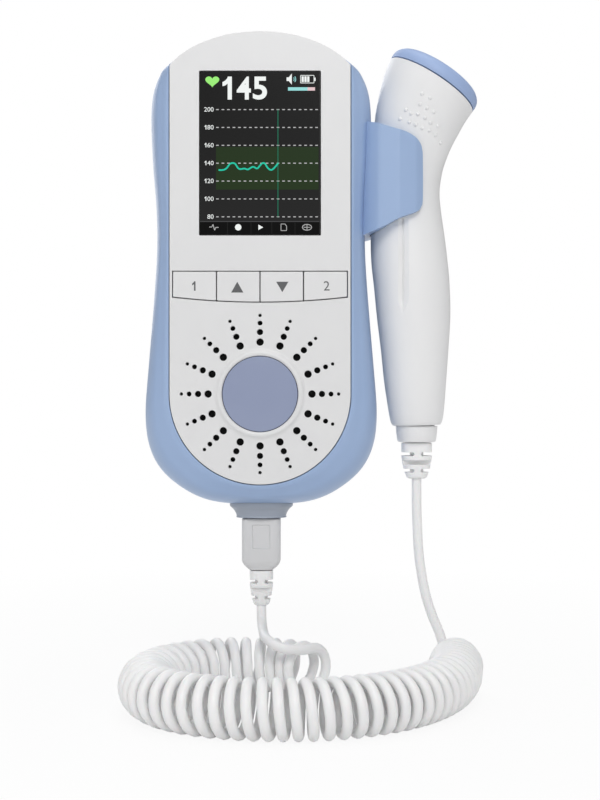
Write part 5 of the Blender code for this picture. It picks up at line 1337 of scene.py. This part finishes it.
# Screen image and key marks
def on_face(px, py):
    """The place on the front's plane that a pixel of the photograph shows."""
    return (px - ORIGIN_PIXEL[0]) * PIXEL, (ORIGIN_PIXEL[1] - py) * PIXEL


def paint(image, outline, tone, level):
    """Adds a thin plate to the image, from an outline in pixels, with a tone and a level above the lens."""
    start = len(image.faces)
    points = [on_face(px, py) for px, py in outline]
    front = FRONT_Y - IMAGE_LEVEL * level
    rows = [[image.verts.new((x, y, z)) for x, z in points] for y in (FRONT_Y, front)]
    for i in range(len(points)):
        j = (i + 1) % len(points)
        image.faces.new((rows[0][i], rows[0][j], rows[1][j], rows[1][i]))
    image.faces.new(rows[0])
    image.faces.new(rows[1])
    image.faces.ensure_lookup_table()
    made = image.faces[start:]
    bmesh.ops.recalc_face_normals(image, faces=made)
    for face in made:
        face.material_index = tone


def bar(left, right, top, bottom):
    return [(left, top), (right, top), (right, bottom), (left, bottom)]


def ribbon(points, width):
    """The outline of a line of even width through points in pixels."""
    sides = ([], [])
    for i, (px, py) in enumerate(points):
        before = Vector(points[max(i - 1, 0)])
        after = Vector(points[min(i + 1, len(points) - 1)])
        way = (after - before).normalized()
        for side, sign in zip(sides, (1, -1)):
            side.append((px - sign * way.y * width / 2, py + sign * way.x * width / 2))
    return sides[0] + sides[1][::-1]


def heart(px, py, width, height):
    points = []
    for i in range(40):
        a = 2 * math.pi * i / 40
        x = math.sin(a) ** 3
        y = (13 * math.cos(a) - 5 * math.cos(2 * a) - 2 * math.cos(3 * a) - math.cos(4 * a)) / 14.5
        points.append((px + x * width / 2, py - y * height / 2))
    return points


def numeral(text, left, right, top, bottom, depth, stretch=True, bold=0.0):
    """A number as a mesh that fills a box in pixels, or its height only, up to a depth before the lens."""
    data = bpy.data.curves.new("numeral", "FONT")
    data.body = text
    data.extrude = 1.0
    data.offset = bold
    data.resolution_u = 6
    made = bpy.data.objects.new("numeral", data)
    bpy.context.scene.collection.objects.link(made)
    mesh = applied(made)
    xs = [v.co.x for v in mesh.vertices]
    ys = [v.co.y for v in mesh.vertices]
    x_low, z_low = on_face(left, bottom)
    x_high, z_high = on_face(right, top)
    if not stretch:
        half = (z_high - z_low) * (max(xs) - min(xs)) / (max(ys) - min(ys)) / 2
        x_low, x_high = (x_low + x_high) / 2 - half, (x_low + x_high) / 2 + half
    for v in mesh.vertices:
        x = x_low + (x_high - x_low) * (v.co.x - min(xs)) / (max(xs) - min(xs))
        z = z_low + (z_high - z_low) * (v.co.y - min(ys)) / (max(ys) - min(ys))
        v.co = (x, -depth if v.co.z > 0 else 0.0, z)
    return mesh


def figure_one(left, right, top, bottom):
    """The outline of a figure one with its flag, in pixels, as shares of its box."""
    return [(left + (right - left) * x, top + (bottom - top) * y) for x, y in ONE_SHARES]


def write(image, text, left, right, top, bottom, level, tone, bold):
    """Adds a number to the screen image, each figure in its own cell of an even row."""
    cell = (right - left) / len(text)
    for i, figure in enumerate(text):
        start = left + cell * i
        if figure == "1":
            paint(image, figure_one(start, start + cell, top, bottom), tone, level)
            continue
        first = len(image.faces)
        box = (start + FIGURE_MARGIN_SHARE * cell, start + (1 - FIGURE_MARGIN_SHARE) * cell, top, bottom)
        mesh = numeral(figure, *box, IMAGE_LEVEL * level, bold=bold)
        mesh.transform(Matrix.Translation((0.0, FRONT_Y, 0.0)))
        image.from_mesh(mesh)
        bpy.data.meshes.remove(mesh)
        image.faces.ensure_lookup_table()
        for face in image.faces[first:]:
            face.material_index = tone


def dashes_tree():
    """A grid of short dashes, for the chart's lines."""
    tree = bpy.data.node_groups.new("chart_dashes", "GeometryNodeTree")
    node_inputs(tree, [
        ("Columns", "NodeSocketInt"), ("Rows", "NodeSocketInt"), ("Width", "NodeSocketFloat"),
        ("Height", "NodeSocketFloat"), ("Dash length", "NodeSocketFloat"),
        ("Dash thickness", "NodeSocketFloat"),
        ("Level", "NodeSocketFloat"), ("Centre", "NodeSocketVector"),
    ])
    given = step(tree, "NodeGroupInput").outputs
    grid = step(tree, "GeometryNodeMeshGrid", {
        "Size X": given["Width"], "Size Y": given["Height"], "Vertices X": given["Columns"],
        "Vertices Y": given["Rows"],
    })
    size = step(tree, "ShaderNodeCombineXYZ", {
        "X": given["Dash length"], "Y": given["Dash thickness"], "Z": given["Level"],
    })
    dash = step(tree, "GeometryNodeMeshCube", {"Size": size.outputs["Vector"]})
    copies = step(tree, "GeometryNodeInstanceOnPoints", {
        "Points": grid.outputs["Mesh"], "Instance": dash.outputs["Mesh"],
    })
    real = step(tree, "GeometryNodeRealizeInstances", {"Geometry": copies.outputs["Instances"]})
    turn = step(tree, "GeometryNodeTransform", {
        "Geometry": real.outputs["Geometry"], "Translation": given["Centre"],
        "Rotation": (math.pi / 2, 0.0, 0.0),
    })
    dressed = step(tree, "GeometryNodeSetMaterial", {
        "Geometry": turn.outputs["Geometry"], "Material": FINISH["grey_pixels"],
    })
    step(tree, "NodeGroupOutput", {"Geometry": dressed.outputs["Geometry"]})
    return tree


def make_screen():
    """The display's chart, as thin lit plates on the lens: figures, scale, trace and small signs."""
    tones = ("dark_pixels", "white_pixels", "grey_pixels", "green_pixels", "band_pixels", "teal_pixels",
             "aqua_pixels", "rose_pixels", "black_pixels", "cursor_pixels", "faint_pixels")
    dark, white, grey, green, band, teal, aqua, rose, black, cursor, faint = range(len(tones))
    image = bmesh.new()
    paint(image, bar(199.6, 319.4, 71.6, 234.4), dark, 1)
    paint(image, bar(199.6, 319.4, 221.8, 234.4), black, 2)
    paint(image, bar(199.6, 319.4, 221.2, 221.9), faint, 3)
    for px in DIVIDER_PIXELS:
        paint(image, bar(px - 0.25, px + 0.25, 222.2, 234.0), dark, 3)
    paint(image, bar(216.0, 318.6, 146.8, 189.6), band, 2)
    paint(image, bar(277.6, 278.3, 109.0, 217.5), cursor, 4)
    trace = curve_through([(140 + x / 5.6, 20 + y / 5.6) for x, y in TRACE_PIXELS], 3)
    paint(image, ribbon(trace, 1.6), teal, 5)
    paint(image, heart(212.3, 81.0, 14.0, 11.0), green, 3)
    paint(
        image, [(286.6, 77.4), (288.8, 77.4), (291.8, 73.6), (291.8, 84.6), (288.8, 81.0), (286.6, 81.0)],
        white, 3
    )
    for reach in (2.6, 4.2):
        arc = [
            (291.6 + reach * math.cos(a), 79.2 + reach * math.sin(a)) for a in (-0.7, -0.35, 0.0, 0.35, 0.7)
        ]
        paint(image, ribbon(arc, 0.7), aqua, 3)
    for left in (301.6, 304.4, 307.2):
        paint(image, bar(left, left + 2.2, 76.4, 82.0), white, 4)
    frame_line = [(300.6, 75.4), (314.0, 75.4), (314.0, 83.0), (300.6, 83.0)]
    for i in range(4):
        paint(image, ribbon([frame_line[i], frame_line[(i + 1) % 4]], 0.6), white, 3)
    paint(image, bar(314.4, 315.6, 77.6, 81.0), white, 3)
    paint(image, bar(288.0, 307.5, 87.3, 90.6), aqua, 3)
    paint(image, bar(307.5, 315.0, 87.3, 90.6), rose, 3)
    disc = [
        (238.2 + 3.2 * math.cos(a), 227.3 + 3.2 * math.sin(a)) for a in (math.pi * i / 14 for i in range(28))
    ]
    paint(image, disc, white, 3)
    paint(image, [(258.4, 224.6), (263.2, 227.3), (258.4, 230.0)], white, 3)
    wave = [(209.2, 227.0), (211.8, 227.0), (213.0, 224.4), (214.6, 230.2), (215.8, 227.4), (218.6, 227.4)]
    for start, end in zip(wave, wave[1:]):
        paint(image, ribbon([start, end], 0.7), grey, 3)
    page = [(281.0, 224.0), (284.8, 224.0), (286.6, 226.0), (286.6, 230.6), (281.0, 230.6), (281.0, 224.0)]
    for start, end in zip(page, page[1:]):
        paint(image, ribbon([start, end], 0.6), grey, 3)
    ring = [
        (307.0 + 4.6 * math.cos(a), 227.3 + 2.9 * math.sin(a)) for a in (math.pi * i / 12 for i in range(25))
    ]
    paint(image, ribbon(ring, 0.7), grey, 3)
    paint(image, ribbon([(303.6, 227.3), (310.4, 227.3)], 0.6), grey, 4)
    paint(image, ribbon([(307.0, 224.8), (307.0, 229.8)], 0.6), grey, 5)
    write(image, "145", 219.6, 268.0, 76.6, 99.6, 4, white, FIGURE_WEIGHT)
    for i, text in enumerate(("200", "180", "160", "140", "120", "100", "80")):
        py = SCALE_TOP_PIXEL + SCALE_PITCH_PIXELS * i
        write(image, text, 213.8 - 3.3 * len(text), 213.8, py - 2.4, py + 2.0, 3, white, 0.0)
    chosen = [face.material_index for face in image.faces]
    picture = show("screen_picture", image, FINISH[tones[0]], smooth=20.0)
    for tone in tones[1:]:
        picture.data.materials.append(FINISH[tone])
    picture.data.polygons.foreach_set("material_index", chosen)
    settle(picture, "unit", "glass")

    left, top = on_face(217.4, SCALE_TOP_PIXEL)
    right, bottom = on_face(316.6, SCALE_TOP_PIXEL + 6 * SCALE_PITCH_PIXELS)
    values = {
        "Columns": 19, "Rows": 7, "Width": right - left, "Height": top - bottom, "Dash length": 2.6 * PIXEL,
        "Dash thickness": 0.9 * PIXEL, "Level": 2 * IMAGE_LEVEL,
        "Centre": ((left + right) / 2, FRONT_Y - 2.5 * IMAGE_LEVEL, (top + bottom) / 2),
    }
    base = bmesh.new()
    mesh = grown("chart_lines", base, dashes_tree(), values)
    settle(show("chart_lines", mesh, FINISH["grey_pixels"], smooth=20.0), "unit", "glass")


def make_key_marks():
    """Printed marks: plain numbers on the memory keys, and triangles on the other two."""
    face = FRONT_Y - KEY_PROUD
    for name, text, box in (
        ("key_one", "1", (191.0, 197.0, 281.4, 290.8)), ("key_two", "2", (323.4, 329.8, 281.2, 290.6)),
    ):
        if text == "1":
            mesh = prism([on_face(px, py) for px, py in figure_one(*box)], face - IMAGE_LEVEL, face)
        else:
            mesh = numeral(text, *box, IMAGE_LEVEL, stretch=False)
            mesh.transform(Matrix.Translation((0.0, face, 0.0)))
        settle(show(name + "_mark", mesh, FINISH["key_ink"], smooth=20.0), name + "_cap", "grey_abs")
    for name, outline in (
        ("key_up", [(231.2, 292.6), (243.4, 292.6), (237.3, 281.8)]),
        ("key_down", [(276.2, 281.8), (288.4, 281.8), (282.3, 292.2)]),
    ):
        mark = prism([on_face(px, py) for px, py in outline], face - IMAGE_LEVEL, face)
        settle(show(name + "_mark", mark, FINISH["key_ink"], smooth=20.0), name + "_cap", "grey_abs")


# Lamps: name, power in watts, diameter, place and aim
WORLD_STRENGTH = 0.42
LAMPS = (
    ("key", 3.6, 0.46, (0.10, -0.86, 0.54), (0.01, 0.0, -0.04)),
    ("fill", 0.5, 0.60, (-0.55, -0.55, 0.10), (0.02, 0.0, -0.03)),
    ("back", 1.3, 0.60, (-0.25, 0.60, 0.30), (0.0, 0.0, -0.02)),
    ("top", 1.1, 0.45, (0.05, -0.05, 0.62), (0.02, -0.02, -0.10)),
)


# Camera and cords
def make_camera():
    """The photograph's view: level, 400 mm in front of the unit's face and 39 mm below its middle."""
    data = bpy.data.cameras.new("camera")
    data.sensor_fit = "VERTICAL"
    data.sensor_height = 24.0
    data.lens = 40.0
    made = bpy.data.objects.new("camera", data)
    made.location = (12.0 * MM, -430.0 * MM, -39.2 * MM)
    made.rotation_euler = (math.pi / 2, 0.0, 0.0)
    bpy.context.scene.collection.objects.link(made)
    bpy.context.scene.camera = made


def metres(rows):
    return [Vector(row) * MM for row in rows]


def curl_points():
    """The curly cord's centre line. Its pitch opens in bends, so that its curls don't meet inside."""
    axis = [Vector((x * MM, y * MM, COIL_Z)) for x, y in curve_through(COIL_ROUTE, COIL_AXIS_STEPS)]
    spans = [(b - a).length for a, b in zip(axis, axis[1:])]
    ways = [(b - a).normalized() for a, b in zip(axis, axis[1:])]
    bends = [0.0]
    for before, after, span in zip(ways, ways[1:], spans):
        bends.append(before.angle(after) / span)
    turns = [0.0]
    for i, span in enumerate(spans):
        nearby = bends[max(0, i - COIL_SMOOTHING):i + COIL_SMOOTHING + 1]
        bend = max(bends[i], sum(nearby) / len(nearby))
        turns.append(turns[-1] + span * (1 - bend * CURL_RADIUS) / CURL_PITCH)
    whole = math.floor(turns[-1] - 0.75) + 0.75
    turns = [turn * whole / turns[-1] for turn in turns]
    count = round(whole * CURL_POINTS)
    points = []
    k = 0
    up = Vector((0.0, 0.0, 1.0))
    for i in range(count + 1):
        turn = whole * i / count
        while k < len(spans) - 1 and turns[k + 1] < turn:
            k += 1
        share = (turn - turns[k]) / (turns[k + 1] - turns[k])
        centre = axis[k].lerp(axis[k + 1], share)
        way = ways[k]
        if 0 < k < len(ways) - 1:
            way = (ways[k - 1] + ways[k] + ways[k + 1]).normalized()
        left = min(1.0, max(0.0, (turn - whole + CURL_END_TURNS) / CURL_END_TURNS))
        radius = CURL_RADIUS * (1 - (1 - CURL_END_RADIUS_SHARE) * left * left * (3 - 2 * left))
        a = 2 * math.pi * turn
        points.append(centre + up * radius * math.cos(a) + way.cross(up) * radius * math.sin(a))
    return points


def tube(name, points, finish):
    """A round tube of the cord's diameter along points, as a mesh with closed ends."""
    data = bpy.data.curves.new(name + "_line", "CURVE")
    data.dimensions = "3D"
    data.bevel_depth = CORD_DIAMETER / 2
    data.bevel_resolution = 5
    data.use_fill_caps = True
    line = data.splines.new("POLY")
    line.points.add(len(points) - 1)
    for target, point in zip(line.points, points):
        target.co = (*point, 1.0)
    made = bpy.data.objects.new(name + "_line", data)
    bpy.context.scene.collection.objects.link(made)
    return show(name, applied(made), finish, smooth=60.0)


def make_cords():
    curls = curl_points()
    start_way = (curls[0] - curls[1]).normalized()
    start_way.z = 0.0
    start_way.normalize()
    start = curls[0] + start_way * CORD_DIAMETER
    end = curls[-1] + Vector((0.0, 0.0, CORD_DIAMETER))
    down = Vector((0.0, 0.0, -LEAD_END))
    plug_end, probe_end = metres((PLUG_RELIEF_END, PROBE_RELIEF_END))
    first = [plug_end + down, *metres(PLUG_LEAD_ROUTE), start + start_way * LEAD_END]
    last = [probe_end + down, *metres(PROBE_LEAD_ROUTE), end - down]
    plug_path = [plug_end, *(Vector(p) for p in curve_through([tuple(p) for p in first], LEAD_STEPS)), start]
    probe_path = [probe_end, *(Vector(p) for p in curve_through([tuple(p) for p in last], LEAD_STEPS)), end]
    coil_path = [start, *curls, end]
    pvc = FINISH["white_pvc"]
    coil = settle(tube("coil_of_cord", coil_path, pvc), "unit", "white_pvc", "curly_cord")
    for name, path, body, node in (
        ("plug_cord", plug_path, "plug", "plug_lead"), ("probe_cord", probe_path, "probe", "probe_lead"),
    ):
        piece = tube(name, path, pvc)
        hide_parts(node)
        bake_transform(piece)


# Light and ground
def make_stage():
    """A pale floor that fades to white away from the object, and soft lamps in front and above."""
    made = bpy.data.materials.new("pale_floor")
    made.use_nodes = True
    tree = made.node_tree
    tree.nodes.remove(tree.nodes["Principled BSDF"])
    place = step(tree, "ShaderNodeTexCoord").outputs["Object"]
    away = step(tree, "ShaderNodeVectorMath", {0: place}, operation="LENGTH")
    fade = step(tree, "ShaderNodeMapRange", {
        "Value": away.outputs["Value"], "From Min": 90 * MM, "From Max": 320 * MM, "To Min": 0.86,
        "To Max": 1.0,
    })
    matt = step(tree, "ShaderNodeBsdfDiffuse", {"Color": linear("#F4F4F4")})
    glow = step(tree, "ShaderNodeEmission", {"Color": (1.0, 1.0, 1.0, 1.0), "Strength": 1.0})
    seen = step(
        tree, "ShaderNodeMixShader", {0: fade.outputs["Result"], 1: matt.outputs[0], 2: glow.outputs[0]}
    )
    rays = step(tree, "ShaderNodeLightPath")
    direct = step(tree, "ShaderNodeMath", {
        0: rays.outputs["Is Camera Ray"], 1: rays.outputs["Is Glossy Ray"],
    }, operation="MAXIMUM")
    shown = step(tree, "ShaderNodeMath", {
        0: direct.outputs[0], 1: rays.outputs["Is Transmission Ray"],
    }, operation="MAXIMUM")
    both = step(tree, "ShaderNodeMixShader", {0: shown.outputs[0], 1: matt.outputs[0], 2: seen.outputs[0]})
    tree.links.new(both.outputs[0], tree.nodes["Material Output"].inputs["Surface"])
    ground = bmesh.new()
    reach = 3.0
    ground.faces.new([
        ground.verts.new((x, y, FLOOR_Z))
        for x, y in ((-reach, -reach), (reach, -reach), (reach, reach), (-reach, reach))
    ])
    show("floor", ground, made)

    world = bpy.data.worlds.new("studio")
    world.use_nodes = True
    tree = world.node_tree
    rays = step(tree, "ShaderNodeLightPath")
    direct = step(tree, "ShaderNodeMath", {
        0: rays.outputs["Is Camera Ray"], 1: rays.outputs["Is Transmission Ray"],
    }, operation="MAXIMUM")
    tone = step(tree, "ShaderNodeMix", {"Factor": direct.outputs[0]}, data_type="FLOAT")
    tone.inputs["A"].default_value = WORLD_STRENGTH
    tone.inputs["B"].default_value = 1.0
    back = tree.nodes["Background"]
    back.inputs["Color"].default_value = (1.0, 1.0, 1.0, 1.0)
    tree.links.new(tone.outputs[0], back.inputs["Strength"])
    bpy.context.scene.world = world

    for name, power, size, place, target in LAMPS:
        data = bpy.data.lights.new(name, "AREA")
        data.shape = "DISK"
        data.energy = power
        data.size = size
        made = bpy.data.objects.new(name, data)
        made.location = place
        made.rotation_euler = (Vector(target) - Vector(place)).to_track_quat("-Z", "Y").to_euler()
        bpy.context.scene.collection.objects.link(made)


# Solids whose shape is right
def dress_solids():
    """Joins each solid's loose triangles, rounds its shading up to its real edges and gives it its finish."""
    slots = {part["node"]: part["material_slot"] for part in frame["record"]["subparts"]}
    for name, node in NODES.items():
        if node.hide_render:
            continue
        # The speaker basket takes the near-black finish in place of its slot's finish: painted shade behind the
        # grille's holes
        finish = FINISH["shade_black_basket" if name == "speaker_basket" else slots[name]]
        if not node.data.materials:
            node.data.materials.append(finish)
        for i in range(len(node.data.materials)):
            node.data.materials[i] = finish
        node.data.shade_smooth()
        weld = node.modifiers.new("weld", "WELD")
        weld.merge_threshold = 0.002 * MM
        crease = node.modifiers.new("crease", "EDGE_SPLIT")
        crease.split_angle = math.radians(32)


bpy.context.scene.view_settings.view_transform = "Standard"
make_camera()
make_stage()
make_cords()
make_case()
make_cover()
make_badge()
make_key_caps()
make_key_marks()
make_screen()
make_door()
make_holder()
make_handle()
make_cap()
make_tail()
make_collar()
make_plug()
dress_solids()
